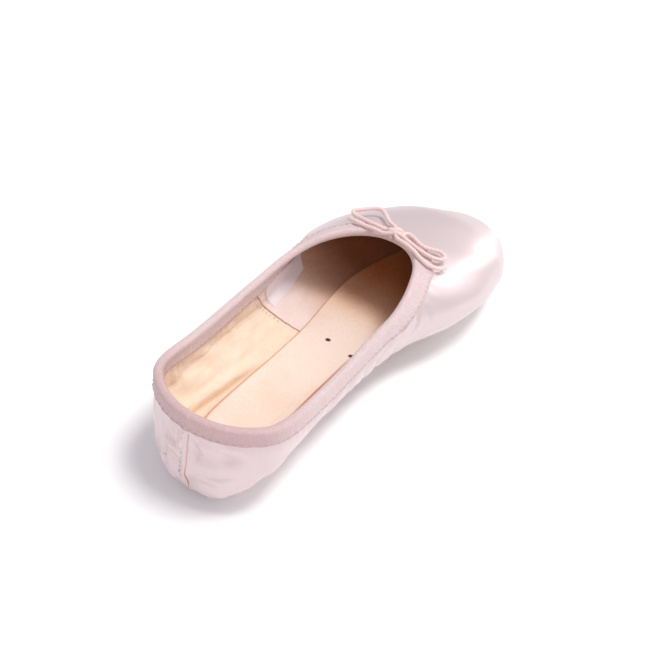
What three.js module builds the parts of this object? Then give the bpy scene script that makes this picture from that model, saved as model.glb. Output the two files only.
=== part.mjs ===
// A satin pointe shoe with a stiff box and a flat platform, standing empty on its sole.
// Millimetres: +X runs from the heel to the toe, +Y to the wearer's left, +Z up from the floor.
import * as THREE from "three";

// Outside sizes of the shoe
const LENGTH = 235;
const HEEL_WIDTH = 62;
const WAIST_WIDTH = 65;
const BALL_WIDTH = 90;
const BOX_WIDTH = 76;
const PLATFORM_WIDTH = 48;
const HEEL_CROWN = 57;
const VAMP_HEIGHT = 46.5;
const BOX_HEIGHT = 41;
const PLATFORM_HEIGHT = 28;
const HEEL_LEVEL = 23;
const BALL_LEVEL = 24;
const PLATFORM_LEVEL = 15;
const ARCH_LIFT = 3.8;
const TOE_LIFT = 3.2;

const SWING = 7;

// Rounded ends of the shoe
const HEEL_END = 40;
const HEEL_FOOT = 6;
const HEEL_SPRING = 0.8;
const PLATFORM_EDGE = 10;
const SOLE_EDGE = 5;

// The opening for the foot
const HEEL_HEIGHT = 46;
const WAIST_HEIGHT = 36.5;
const THROAT_SIDE_HEIGHT = 43;
const THROAT_AT = 157;
const THROAT_WIDTH = 69;
const THROAT_START = 80;
const THROAT_ROUND = 2.3;

// Walls, sheets and the gaps between pieces
const CLEARANCE = 0.3;
const CLOTH_WALL = 1.8;
const BOX_WALL = 3;
const BINDING_WIDTH = 8;
const BINDING_THICKNESS = 0.8;
const SEAM_RIDGE = 0.6;
const SOLE_THICKNESS = 2.5;
const INSOLE_THICKNESS = 1.4;
const INSOLE_LAP = 5;
const SHEET_CLEARANCE = 0.55;
const CORD_DIAMETER = 2;

// Sections from heel to toe. at is a share of LENGTH; the other columns are sizes there:
// half width, level of the widest part, crown of the form, lift of the underside,
// and how square the section is above and below its widest level.
const sections = [
  { at: 0, half: 0.5 * HEEL_WIDTH, level: HEEL_LEVEL, crown: HEEL_CROWN, lift: 0, above: 3.7, below: 1.2 },
  { at: 0.16, half: 0.5 * HEEL_WIDTH, level: HEEL_LEVEL, crown: HEEL_CROWN, lift: 0, above: 3.7, below: 1.2 },
  { at: 0.3, half: 0.51 * HEEL_WIDTH, level: 0.95 * HEEL_LEVEL, crown: HEEL_CROWN, lift: 0.7 * ARCH_LIFT, above: 3.6, below: 1.3 },
  { at: 0.42, half: 0.5 * WAIST_WIDTH, level: 0.87 * HEEL_LEVEL, crown: HEEL_CROWN, lift: ARCH_LIFT, above: 2.8, below: 1.5 },
  { at: 0.52, half: 0.56 * WAIST_WIDTH, level: 0.93 * BALL_LEVEL, crown: 1.1 * VAMP_HEIGHT, lift: 0.6 * ARCH_LIFT, above: 2.2, below: 1.5 },
  { at: 0.64, half: 0.49 * BALL_WIDTH, level: BALL_LEVEL, crown: VAMP_HEIGHT, lift: 0, above: 2.06, below: 1.5 },
  { at: 0.7, half: 0.5 * BALL_WIDTH, level: BALL_LEVEL, crown: 0.97 * VAMP_HEIGHT, lift: 0, above: 2, below: 1.5 },
  { at: 0.84, half: 0.5 * BOX_WIDTH, level: 0.82 * BALL_LEVEL, crown: BOX_HEIGHT, lift: 0.15 * TOE_LIFT, above: 1.95, below: 1.6 },
  { at: 1, half: 0.5 * PLATFORM_WIDTH, level: PLATFORM_LEVEL, crown: PLATFORM_HEIGHT, lift: TOE_LIFT, above: 1.9, below: 1.9 },
];

// Height of the collar seen from the side
const collar = [
  { at: 0, height: HEEL_HEIGHT },
  { at: 0.2, height: 0.83 * HEEL_HEIGHT },
  { at: 0.36, height: WAIST_HEIGHT },
  { at: 0.47, height: 1.03 * WAIST_HEIGHT },
  { at: 0.6, height: THROAT_SIDE_HEIGHT },
  { at: 1, height: THROAT_SIDE_HEIGHT },
];

// Centre line seen from above: the forefoot swings to the wearer's right
const centreLine = [
  { at: 0, aside: -0.41 * SWING },
  { at: 0.2, aside: 0.11 * SWING },
  { at: 0.45, aside: 0.61 * SWING },
  { at: 0.7, aside: 0.04 * SWING },
  { at: 0.85, aside: -0.63 * SWING },
  { at: 1, aside: -1.01 * SWING },
];

// Half widths of the insole and of the outsole, as shares of the foot's width at the ball.
// At the waist the insole lies a little to the wearer's right of the centre line.
const insoleRows = [
  { at: 0.075, half: 0.13 * BALL_WIDTH, aside: 0 },
  { at: 0.16, half: 0.16 * BALL_WIDTH, aside: 0 },
  { at: 0.42, half: 0.16 * BALL_WIDTH, aside: -0.37 * SWING },
  { at: 0.7, half: 0.25 * BALL_WIDTH, aside: 0 },
  { at: 0.86, half: 0.22 * BALL_WIDTH, aside: 0 },
  { at: 0.93, half: 0.17 * BALL_WIDTH, aside: 0 },
];
const outsoleRows = [
  { at: 0.055, half: 0.13 * BALL_WIDTH },
  { at: 0.14, half: 0.145 * BALL_WIDTH },
  { at: 0.42, half: 0.155 * BALL_WIDTH },
  { at: 0.68, half: 0.29 * BALL_WIDTH },
  { at: 0.84, half: 0.26 * BALL_WIDTH },
  { at: 0.925, half: 0.18 * BALL_WIDTH },
];

const clamp = (value, low, high) => Math.min(high, Math.max(low, value));

function softMax(a, b, reach) {
  const near = Math.max(reach - Math.abs(a - b), 0) / reach;
  return Math.max(a, b) + 0.25 * near * near * reach;
}

// A curve through the rows of a table that never overshoots them
function throughRows(rows, key) {
  const xs = rows.map((row) => row.at * LENGTH);
  const ys = rows.map((row) => row[key]);
  const steps = xs.slice(1).map((x, i) => x - xs[i]);
  const rises = steps.map((step, i) => (ys[i + 1] - ys[i]) / step);
  const slopes = xs.map((x, i) => {
    if (i === 0 || i === xs.length - 1) {
      return 0;
    }
    const [before, after] = [rises[i - 1], rises[i]];
    if (before * after <= 0) {
      return 0;
    }
    const first = 2 * steps[i] + steps[i - 1];
    const second = steps[i] + 2 * steps[i - 1];
    return (first + second) / (first / before + second / after);
  });
  return (x) => {
    const inside = clamp(x, xs[0], xs[xs.length - 1]);
    let i = 0;
    while (i < steps.length - 1 && inside > xs[i + 1]) {
      i += 1;
    }
    const t = (inside - xs[i]) / steps[i];
    const ease = t * t * (3 - 2 * t);
    const bend = t * (1 - t);
    const tangents = bend * (1 - t) * slopes[i] - bend * t * slopes[i + 1];
    return ys[i] + ease * (ys[i + 1] - ys[i]) + steps[i] * tangents;
  };
}

const halfWidth = throughRows(sections, "half");
const level = throughRows(sections, "level");
const crown = throughRows(sections, "crown");
const lift = throughRows(sections, "lift");
const squareAbove = throughRows(sections, "above");
const squareBelow = throughRows(sections, "below");
const collarHeight = throughRows(collar, "height");
const insoleHalf = throughRows(insoleRows, "half");
const insoleAside = throughRows(insoleRows, "aside");
const outsoleHalf = throughRows(outsoleRows, "half");
const aside = throughRows(centreLine, "aside");

// Underside of the upper: the outsole's thickness and a gap above the floor, plus its lift
const underside = (x) => SOLE_THICKNESS + SHEET_CLEARANCE + lift(x);

// The body runs on below the underside by this much, so that the underside is a flat cut
const SOLE_CUT = 6;
const HEEL_FADE = 0.3;
const END_ROUND = 2.2;
const END_SLACK = 2.5;

// How far the back of the heel stands forward at a height
function heelProfile(z) {
  const low = clamp((HEEL_LEVEL - z) / (HEEL_LEVEL - SOLE_THICKNESS), 0, 1);
  const high = clamp((z - HEEL_LEVEL) / (HEEL_HEIGHT - HEEL_LEVEL), 0, 1.5);
  return HEEL_FOOT * (1 - Math.sqrt(1 - low * low)) + HEEL_SPRING * high * high;
}

// Distance-like value of the outer form: below zero inside, above zero outside
function formValue(x, y, z) {
  const fade = clamp(1 - x / (HEEL_FADE * LENGTH), 0, 1);
  const along = x - heelProfile(z) * fade;
  const half = halfWidth(along);
  const middle = level(along);
  const side = Math.abs(y) / half;
  const isUpper = z >= middle;
  const reach = isUpper ? crown(along) - middle : middle - underside(along) + SOLE_CUT;
  const power = isUpper ? squareAbove(along) : squareBelow(along);
  const height = Math.abs(z - middle) / reach;
  const body = 0.5 * BALL_WIDTH * ((side ** power + height ** power) ** (1 / power) - 1);
  const end = Math.max(1 - along / HEEL_END, 0);
  const wide = Math.abs(y) / (half + END_SLACK);
  const plan = HEEL_END * ((wide ** END_ROUND + end ** END_ROUND) ** (1 / END_ROUND) - 1);
  let value = softMax(body, plan, SOLE_EDGE);
  value = softMax(value, underside(along) - z, SOLE_EDGE);
  return softMax(value, x - LENGTH, 2 * PLATFORM_EDGE);
}

// Above zero where the form is cut away for the foot
function openingValue(x, y, z) {
  const ahead = Math.max((x - THROAT_START) / (THROAT_AT - THROAT_START), 0);
  const across = Math.abs(y) / (0.5 * THROAT_WIDTH);
  const round = (across ** THROAT_ROUND + ahead ** THROAT_ROUND) ** (1 / THROAT_ROUND);
  const inPlan = x < THROAT_START ? LENGTH : 0.5 * THROAT_WIDTH * (1 - round);
  return -softMax(collarHeight(x) - z, -inPlan, SOLE_EDGE);
}

// A smooth outward direction, from small steps either way
function outward(point) {
  const step = 0.35;
  const at = (dx, dy, dz) => formValue(point.x + dx, point.y + dy, point.z + dz);
  return new THREE.Vector3(
    at(step, 0, 0) - at(-step, 0, 0),
    at(0, step, 0) - at(0, -step, 0),
    at(0, 0, step) - at(0, 0, -step),
  ).normalize();
}

// The value of t between low and high where a test turns true
function firstTrue(low, high, test) {
  let [a, b] = [low, high];
  for (let i = 0; i < 34; i += 1) {
    const mid = 0.5 * (a + b);
    if (test(mid)) {
      b = mid;
    } else {
      a = mid;
    }
  }
  return 0.5 * (a + b);
}

// Half of a closed plan outline: half width at a place, rounded over at both ends
function planHalf(rows, widthAt, inset) {
  const from = rows[0].at * LENGTH + inset;
  const to = rows[rows.length - 1].at * LENGTH - inset;
  return (x) => {
    const round = widthAt(0.5 * (from + to)) - inset;
    const rear = clamp(1 - (x - from) / round, 0, 1);
    const front = clamp(1 - (to - x) / round, 0, 1);
    const end = Math.max(rear, front);
    return (widthAt(x) - inset) * Math.sqrt(Math.max(1 - end ** 2.4, 0));
  };
}
const openingHalf = planHalf(insoleRows, insoleHalf, INSOLE_LAP);

// Ribs are upright planes that stand round a line from the heel hub to the toe hub
const HEEL_HUB = HEEL_END;
const TOE_HUB = THROAT_AT - 0.5 * THROAT_WIDTH;
const toeFan = [0, 4, 8, 12, 16.5, 22, 28, 35, 43, 52, 61, 70, 80];
const heelFan = [102, 114, 126, 138, 149, 159, 168, 174, 177.2, 180];
const SIDE_RIBS = 10;
const RIB_ROWS = 17;

function ribPlane(degrees, share) {
  const angle = THREE.MathUtils.degToRad(degrees);
  return {
    hub: TOE_HUB + (HEEL_HUB - TOE_HUB) * share,
    ahead: Math.cos(angle),
    across: Math.sin(angle),
  };
}

const leftPlanes = [
  ...toeFan.map((degrees) => ribPlane(degrees, 0)),
  ...Array.from({ length: SIDE_RIBS }, (_, i) => ribPlane(90, i / (SIDE_RIBS - 1))),
  ...heelFan.map((degrees) => ribPlane(degrees, 1)),
];
const rightPlanes = leftPlanes
  .slice(1, -1)
  .reverse()
  .map((plane) => ({ ...plane, across: -plane.across }));
const planes = [...leftPlanes, ...rightPlanes];

// One rib: the outer form in an upright plane, from the collar round to the edge underneath
function makeRib(plane) {
  const inPlane = (r, z) => new THREE.Vector3(plane.hub + plane.ahead * r, plane.across * r, z);
  const outside = (r, z) => {
    const p = inPlane(r, z);
    return formValue(p.x, p.y, p.z) > 0;
  };
  const radius = firstTrue(0, LENGTH, (r) => outside(r, BALL_LEVEL));
  const hubRadius = Math.max(0, radius - 0.5 * (BALL_WIDTH + PLATFORM_EDGE));
  const hubLevel = level(plane.hub + plane.ahead * hubRadius);
  const surface = (degrees) => {
    const angle = THREE.MathUtils.degToRad(degrees);
    const [dr, dz] = [Math.cos(angle), Math.sin(angle)];
    const t = firstTrue(0, LENGTH, (s) => outside(hubRadius + dr * s, hubLevel + dz * s));
    return inPlane(hubRadius + dr * t, hubLevel + dz * t);
  };
  const isWall = (degrees) => {
    const p = surface(degrees);
    const isAhead = (p.x - plane.hub) * plane.ahead + p.y * plane.across >= 0;
    return isAhead && openingValue(p.x, p.y, p.z) <= 0;
  };
  let start = hubRadius > 0 ? 165 : 90;
  while (!isWall(start)) {
    start -= 5;
  }
  const rim = firstTrue(-(start + 5), -start, (turned) => isWall(-turned));
  const isOpening = (degrees) => {
    const p = surface(degrees);
    return Math.abs(p.y) < openingHalf(p.x);
  };
  let finish = -20;
  while (!isOpening(finish)) {
    finish -= 5;
  }
  const edge = firstTrue(-(finish + 5), -finish, (turned) => isOpening(-turned));
  return { surface, rim: -rim, edge: -edge };
}

// Points along a rib, closer together where it turns quickly
const TURN_WEIGHT = 14;
const DENSE_STEPS = 70;

function traceRib(rib) {
  const span = rib.edge - rib.rim;
  const angles = Array.from({ length: DENSE_STEPS + 1 }, (_, i) => rib.rim + (span * i) / DENSE_STEPS);
  const dense = angles.map(rib.surface);
  const arc = [0];
  const weight = [0];
  for (let i = 1; i <= DENSE_STEPS; i += 1) {
    const length = dense[i].distanceTo(dense[i - 1]);
    let turn = 0;
    if (i < DENSE_STEPS) {
      const before = dense[i].clone().sub(dense[i - 1]);
      const after = dense[i + 1].clone().sub(dense[i]);
      turn = before.angleTo(after);
    }
    arc.push(arc[i - 1] + length);
    weight.push(weight[i - 1] + length + TURN_WEIGHT * turn);
  }
  return { rib, angles, arc, weight };
}

function readTable(from, to, value) {
  let i = 1;
  while (i < from.length - 1 && from[i] < value) {
    i += 1;
  }
  const t = clamp((value - from[i - 1]) / (from[i] - from[i - 1]), 0, 1);
  return to[i - 1] + t * (to[i] - to[i - 1]);
}

// The seam up the back of the heel stands a little proud of the satin
function seamRise(point) {
  const isBack = point.x < HEEL_HUB;
  const near = Math.exp(-((point.y / 1.6) ** 2));
  const above = clamp((point.z - SOLE_THICKNESS) / HEEL_FOOT - 1, 0, 1);
  return isBack ? SEAM_RIDGE * near * above : 0;
}

function wallAt(point) {
  const t = clamp((point.x - THROAT_AT) / (0.5 * BALL_WIDTH), 0, 1);
  return CLOTH_WALL + (BOX_WALL - CLOTH_WALL) * t * t * (3 - 2 * t);
}

const ribs = planes.map((plane) => traceRib(makeRib(plane)));

function ribPoint(trace, angle) {
  const at = trace.rib.surface(angle);
  const normal = outward(at);
  return { at: at.clone().addScaledVector(normal, seamRise(at)), normal, wall: wallAt(at) };
}

// Which way the collar runs past each rib
const rimPoints = ribs.map((trace) => ribPoint(trace, trace.rib.rim));
const bindingReach = ribs.map((trace, i) => {
  const before = rimPoints[(i + ribs.length - 1) % ribs.length].at;
  const after = rimPoints[(i + 1) % ribs.length].at;
  const runs = after.clone().sub(before).normalize();
  const down = ribPoint(trace, readTable(trace.arc, trace.angles, 1)).at;
  const along = down.sub(rimPoints[i].at).normalize();
  return BINDING_WIDTH / Math.max(runs.cross(along).length(), 0.7);
});

// Rows under the binding come first, so that the two pieces bend at the same lines
const BINDING_ROWS = 3;
const bindingRibs = ribs.map((trace, i) =>
  Array.from({ length: BINDING_ROWS }, (_, j) => {
    const arc = (bindingReach[i] * j) / (BINDING_ROWS - 1);
    return ribPoint(trace, readTable(trace.arc, trace.angles, arc));
  }),
);
const upperRibs = ribs.map((trace, i) => {
  const from = readTable(trace.arc, trace.weight, bindingReach[i]);
  const rest = trace.weight[DENSE_STEPS] - from;
  const steps = RIB_ROWS - BINDING_ROWS;
  const below = Array.from({ length: steps }, (_, j) => {
    const angle = readTable(trace.weight, trace.angles, from + (rest * (j + 1)) / steps);
    return ribPoint(trace, angle);
  });
  return [...bindingRibs[i], ...below];
});

// A closed band of equal rings joined side by side all the way round
function ringSolid(rings) {
  const count = rings[0].length;
  const positions = rings.flat().flatMap((p) => [p.x, p.y, p.z]);
  const index = [];
  rings.forEach((ring, i) => {
    const next = (i + 1) % rings.length;
    for (let j = 0; j < count; j += 1) {
      const after = (j + 1) % count;
      const [a, b] = [i * count + j, i * count + after];
      const [c, d] = [next * count + j, next * count + after];
      if (ring[after].distanceTo(rings[next][j]) < ring[j].distanceTo(rings[next][after])) {
        index.push(a, b, c, b, d, c);
      } else {
        index.push(a, b, d, a, d, c);
      }
    }
  });
  return indexedGeometry(positions, index);
}

// Every piece follows the centre line
function indexedGeometry(positions, index) {
  const geometry = new THREE.BufferGeometry();
  for (let i = 0; i < positions.length; i += 3) {
    positions[i + 1] += aside(positions[i]);
  }
  geometry.setAttribute("position", new THREE.Float32BufferAttribute(positions, 3));
  geometry.setIndex(index);
  geometry.computeVertexNormals();
  return geometry;
}

// The upper: one wall from the collar round the foot to the edge that the soles close
const upperRings = upperRibs.map((rib) => [
  ...rib.map((p) => p.at),
  ...rib.map((p) => p.at.clone().addScaledVector(p.normal, -p.wall)).reverse(),
]);

// The binding: a tape folded over the collar, with a leg down each side of the wall
const bindingRings = bindingRibs.map((legs) => {
  const outer = CLEARANCE + BINDING_THICKNESS;
  const up = legs[0].at.clone().sub(legs[1].at).normalize();
  const wall = legs[0].wall;
  const offset = (p, distance) => p.at.clone().addScaledVector(p.normal, distance);
  const top = (across, rise) => offset(legs[0], across).addScaledVector(up, rise);
  return [
    ...legs.map((p) => offset(p, outer)).reverse(),
    top(0.55 * outer, 0.8 * outer),
    top(-0.5 * wall, outer),
    top(-wall - 0.55 * outer, 0.8 * outer),
    ...legs.map((p) => offset(p, -p.wall - outer)),
    ...legs.map((p) => offset(p, -p.wall - CLEARANCE)).reverse(),
    top(-wall - CLEARANCE, CLEARANCE),
    top(CLEARANCE, CLEARANCE),
    ...legs.map((p) => offset(p, CLEARANCE)),
  ].reverse();
});

// Height of the form's underside at a place in plan
function undersideAt(x, y) {
  const z = firstTrue(-level(x), level(x), (s) => formValue(x, y, s) < 0);
  return new THREE.Vector3(x, y, z);
}

// A sheet between a lower and an upper height, over a rounded plan outline
const SHEET_STATIONS = 26;
const SHEET_ACROSS = 8;

function sheetSolid(rows, half, shift, heights) {
  const from = rows[0].at * LENGTH;
  const to = rows[rows.length - 1].at * LENGTH;
  const lower = [];
  const upper = [];
  for (let i = 0; i <= SHEET_STATIONS; i += 1) {
    const t = 0.5 - 0.5 * Math.cos((Math.PI * i) / SHEET_STATIONS);
    const x = from + (to - from) * (0.7 * t + (0.3 * i) / SHEET_STATIONS);
    const width = Math.max(half(x), 0.06 * BALL_WIDTH);
    for (let j = 0; j <= SHEET_ACROSS; j += 1) {
      const y = shift(x) + width * ((2 * j) / SHEET_ACROSS - 1);
      const [low, high] = heights(x, y);
      lower.push([x, y, low]);
      upper.push([x, y, high]);
    }
  }
  const columns = SHEET_ACROSS + 1;
  const total = lower.length;
  const index = [];
  const quad = (a, b, c, d) => index.push(a, b, c, a, c, d);
  for (let i = 0; i < SHEET_STATIONS; i += 1) {
    for (let j = 0; j < SHEET_ACROSS; j += 1) {
      const a = i * columns + j;
      quad(a, a + 1, a + columns + 1, a + columns);
      quad(total + a, total + a + columns, total + a + columns + 1, total + a + 1);
    }
    const near = i * columns;
    const far = near + SHEET_ACROSS;
    quad(near, near + columns, total + near + columns, total + near);
    quad(far, total + far, total + far + columns, far + columns);
  }
  for (let j = 0; j < SHEET_ACROSS; j += 1) {
    const last = SHEET_STATIONS * columns + j;
    quad(j, total + j, total + j + 1, j + 1);
    quad(last, last + 1, total + last + 1, total + last);
  }
  return indexedGeometry([...lower, ...upper].flat(), index);
}

function outsoleHeights(x, y) {
  const place = undersideAt(x, y);
  const top = place.z - SHEET_CLEARANCE / Math.abs(outward(place).z);
  return [underside(x) - SHEET_CLEARANCE - SOLE_THICKNESS, top];
}

function insoleHeights(x, y) {
  const place = undersideAt(x, y);
  const bottom = place.z + (wallAt(place) + SHEET_CLEARANCE) / Math.abs(outward(place).z);
  return [bottom, bottom + INSOLE_THICKNESS];
}

const insolePlan = planHalf(insoleRows, insoleHalf, 0);
const outsolePlan = planHalf(outsoleRows, outsoleHalf, 0);
const insoleGeometry = sheetSolid(insoleRows, insolePlan, insoleAside, insoleHeights);
const outsoleGeometry = sheetSolid(outsoleRows, outsolePlan, () => 0, outsoleHeights);

// The drawstring is tied in a small bow on the binding at the throat.
// Points run through the cord's middle, in the shoe's frame, heights above the floor.
const knotPath = [
  [34.6, 2.6, 48],
  [36.2, 2.9, 49.1],
  [38.4, 1.6, 49.5],
  [40.2, 0, 49.2],
  [41.4, -1.6, 48.3],
];
const leftLoopPath = [
  [42.4, 2.4, 48.8],
  [46.8, 8.6, 48.1],
  [52.4, 14, 47.2],
  [54.8, 17.6, 46.8],
  [53.6, 21.2, 46.4],
  [49.8, 25, 45.8],
  [46.4, 28.2, 45.1],
  [44.2, 26.6, 45.1],
  [42.6, 22, 45.9],
  [40.8, 16, 47],
  [39.6, 10, 48],
  [38.9, 5.6, 48.5],
];
const leftEndPath = [
  [35.6, 5.2, 48.5],
  [35.9, 10, 48.2],
  [36.2, 16, 47.4],
  [37.4, 21.4, 46.5],
  [39.4, 26.2, 45.2],
];
const rightLoopPath = [
  [43.6, -3.4, 48.2],
  [43.4, -7, 47.9],
  [41.8, -11, 47.4],
  [41.4, -14, 47],
  [43, -17.4, 46.4],
  [45.2, -21, 45.6],
  [44.6, -23.8, 45],
  [41.4, -24.6, 45],
  [38.4, -21.8, 45.8],
  [37.2, -17.4, 46.7],
  [37.6, -12, 47.5],
  [38.8, -6, 48.1],
];
const rightEndPath = [
  [36.2, -2.2, 48.7],
  [35.4, -7, 48.4],
  [33.8, -12.6, 47.9],
  [31.8, -17.8, 47],
  [31.6, -22.4, 45.8],
  [34.6, -26.4, 44.4],
  [39.4, -28, 43.4],
];
const CORD_SIDES = 8;

function cordSolid(path, diameter) {
  const curve = new THREE.CatmullRomCurve3(path.map((p) => new THREE.Vector3(...p)), false, "centripetal");
  const ring = new THREE.Shape();
  for (let i = 0; i < CORD_SIDES; i += 1) {
    const angle = (2 * Math.PI * (i + 0.5)) / CORD_SIDES;
    const [x, y] = [0.5 * diameter * Math.cos(angle), 0.5 * diameter * Math.sin(angle)];
    if (i === 0) {
      ring.moveTo(x, y);
    } else {
      ring.lineTo(x, y);
    }
  }
  ring.closePath();
  const steps = 2 * path.length;
  return new THREE.ExtrudeGeometry(ring, { steps, bevelEnabled: false, extrudePath: curve });
}

// Materials
const satin = new THREE.MeshStandardMaterial({ color: 0xe8d3d3, roughness: 0.35, metalness: 0 });
const tape = new THREE.MeshStandardMaterial({ color: 0xe6cccb, roughness: 0.7, metalness: 0 });
const leather = new THREE.MeshStandardMaterial({ color: 0xd9c1a6, roughness: 0.65, metalness: 0 });
const cord = new THREE.MeshStandardMaterial({ color: 0xe9cfc8, roughness: 0.75, metalness: 0 });
const board = new THREE.MeshStandardMaterial({ color: 0xf5e0cb, roughness: 0.85, metalness: 0 });

const shoe = new THREE.Group();

// The shoe's own frame has its origin on the floor, half way along
function addPiece(name, geometry, material) {
  const mesh = new THREE.Mesh(geometry, material);
  mesh.name = name;
  mesh.position.x = 0.5 * (BINDING_THICKNESS + SEAM_RIDGE - LENGTH);
  shoe.add(mesh);
}

function addCord(name, path, diameter) {
  const mesh = new THREE.Mesh(cordSolid(path, diameter), cord);
  mesh.name = name;
  shoe.add(mesh);
}

addPiece("upper", ringSolid(upperRings), satin);
addPiece("collar_binding", ringSolid(bindingRings), tape);
addPiece("outsole", outsoleGeometry, leather);
addPiece("insole", insoleGeometry, board);
addCord("drawstring_knot", knotPath, 1.3 * CORD_DIAMETER);
addCord("drawstring_loop_left", leftLoopPath, CORD_DIAMETER);
addCord("drawstring_end_left", leftEndPath, CORD_DIAMETER);
addCord("drawstring_loop_right", rightLoopPath, CORD_DIAMETER);
addCord("drawstring_end_right", rightEndPath, CORD_DIAMETER);

export default shoe;
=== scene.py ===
# %% [markdown]
# # A satin pointe shoe
# A pointe shoe is a satin upper pulled over a last, stiffened at the box with paste and closed at the
# collar by a folded tape with a drawstring in it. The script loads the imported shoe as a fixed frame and
# lays a finer skin of cloth, tape, thread and leather over it. Sizes are in millimetres until a mesh is
# made, and +X runs to the toe, +Y to the wearer's left, +Z up.

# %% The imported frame
"""Surfaces of a pointe shoe, worked out as whole arrays.

The outer form is a value that is below zero inside the shoe and above zero outside it. In each
upright section it is a rounded square: the share of the half width to a power, plus the share of
the height to the same power, less one. Soft maxima join that body to the round heel, to the flat
underside and to the flat platform. Ribs are upright planes round a line inside the foot. Along
each rib the skin is found by halving an interval until the value is zero.
"""
import math

import bpy
import numpy as np
from mathutils import Matrix


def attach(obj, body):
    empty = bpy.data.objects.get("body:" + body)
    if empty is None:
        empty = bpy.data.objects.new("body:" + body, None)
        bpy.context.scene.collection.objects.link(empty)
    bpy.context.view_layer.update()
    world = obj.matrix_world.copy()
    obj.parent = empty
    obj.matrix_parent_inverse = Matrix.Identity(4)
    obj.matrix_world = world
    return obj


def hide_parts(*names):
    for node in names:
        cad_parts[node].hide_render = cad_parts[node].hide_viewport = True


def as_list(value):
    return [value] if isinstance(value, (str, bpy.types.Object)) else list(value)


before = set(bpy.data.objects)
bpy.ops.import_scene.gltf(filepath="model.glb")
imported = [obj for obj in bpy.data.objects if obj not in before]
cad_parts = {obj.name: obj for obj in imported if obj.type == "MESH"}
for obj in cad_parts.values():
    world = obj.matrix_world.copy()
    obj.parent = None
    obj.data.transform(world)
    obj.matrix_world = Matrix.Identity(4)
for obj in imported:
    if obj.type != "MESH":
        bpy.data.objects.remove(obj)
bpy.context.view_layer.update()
print("nodes", len(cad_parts))

# %% [markdown]
# ## Camera
# It stands behind the shoe, above it and to its right, and is rolled a little, as in the photo. It could
# be turned by three angles on the object. Here three unit directions are worked out and put into its
# matrix, because right, up and forward can then be read one by one.

# %% Camera
AZIMUTH = math.radians(62.236)
ELEVATION = math.radians(38.685)
ROLL = math.radians(9.516)
# The distance and the target are in metres, the lens and the sensor in millimetres
DISTANCE = 0.461368
TARGET = np.array([-0.011275, 0.002786, 0.022])
LENS = 56.37
SENSOR_WIDTH = 36
NEAREST = 0.01

level_right = np.array([math.cos(AZIMUTH), -math.sin(AZIMUTH), 0])
level_ahead = np.array([math.sin(AZIMUTH), math.cos(AZIMUTH), 0])
straight_up = np.array([0, 0, 1])
forward = level_ahead * math.cos(ELEVATION) - straight_up * math.sin(ELEVATION)
level_up = level_ahead * math.sin(ELEVATION) + straight_up * math.cos(ELEVATION)
right = level_right * math.cos(ROLL) + level_up * math.sin(ROLL)
up = level_up * math.cos(ROLL) - level_right * math.sin(ROLL)
place = TARGET - forward * DISTANCE
camera_data = bpy.data.cameras.new("camera")
camera_data.lens = LENS
camera_data.sensor_width = SENSOR_WIDTH
camera_data.clip_start = NEAREST
camera = bpy.data.objects.new("camera", camera_data)
camera.matrix_world = Matrix(np.column_stack([right, up, -forward, place]).tolist() + [[0, 0, 0, 1]])
bpy.context.scene.collection.objects.link(camera)
bpy.context.scene.camera = camera
print("camera at", place.round(4))

# %% [markdown]
# ## The sizes of the last
# A last is the form that the upper is pulled over. These sizes repeat those of the part's source, so
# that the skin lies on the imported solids.

# %% Driving sizes
LENGTH = 235.0
HEEL_WIDTH = 62.0
WAIST_WIDTH = 65.0
BALL_WIDTH = 90.0
BOX_WIDTH = 76.0
PLATFORM_WIDTH = 48.0
HEEL_CROWN = 57.0
VAMP_HEIGHT = 46.5
BOX_HEIGHT = 41.0
PLATFORM_HEIGHT = 28.0
HEEL_LEVEL = 23.0
BALL_LEVEL = 24.0
PLATFORM_LEVEL = 15.0
ARCH_LIFT = 3.8
TOE_LIFT = 3.2
SWING = 7.0
HEEL_END = 40.0
HEEL_FOOT = 6.0
HEEL_SPRING = 0.8
PLATFORM_EDGE = 10.0
SOLE_EDGE = 5.0
HEEL_HEIGHT = 46.0
WAIST_HEIGHT = 36.5
THROAT_SIDE_HEIGHT = 43.0
THROAT_AT = 157.0
THROAT_WIDTH = 69.0
THROAT_START = 80.0
THROAT_ROUND = 2.3
CLOTH_WALL = 1.8
BOX_WALL = 3.0
BINDING_WIDTH = 8.0
BINDING_THICKNESS = 0.8
SEAM_RIDGE = 0.6
SOLE_THICKNESS = 2.5
INSOLE_THICKNESS = 1.4
INSOLE_LAP = 5.0
SHEET_CLEARANCE = 0.55
CORD_DIAMETER = 2.0
SOLE_CUT = 6.0
HEEL_FADE = 0.3
END_ROUND = 2.2
END_SLACK = 2.5
TOE_HUB = THROAT_AT - 0.5 * THROAT_WIDTH
HEEL_HUB = HEEL_END
SHIFT = 0.5 * (BINDING_THICKNESS + SEAM_RIDGE - LENGTH)
print("length", LENGTH, "width at the ball", BALL_WIDTH)

# %% [markdown]
# ## Tables of the last
# The width, height and roundness of a last change all along it. They could be drawn as many outlines.
# A table with a few rows, each a share of a driving size, is shorter, and curves fill the gaps.

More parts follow.
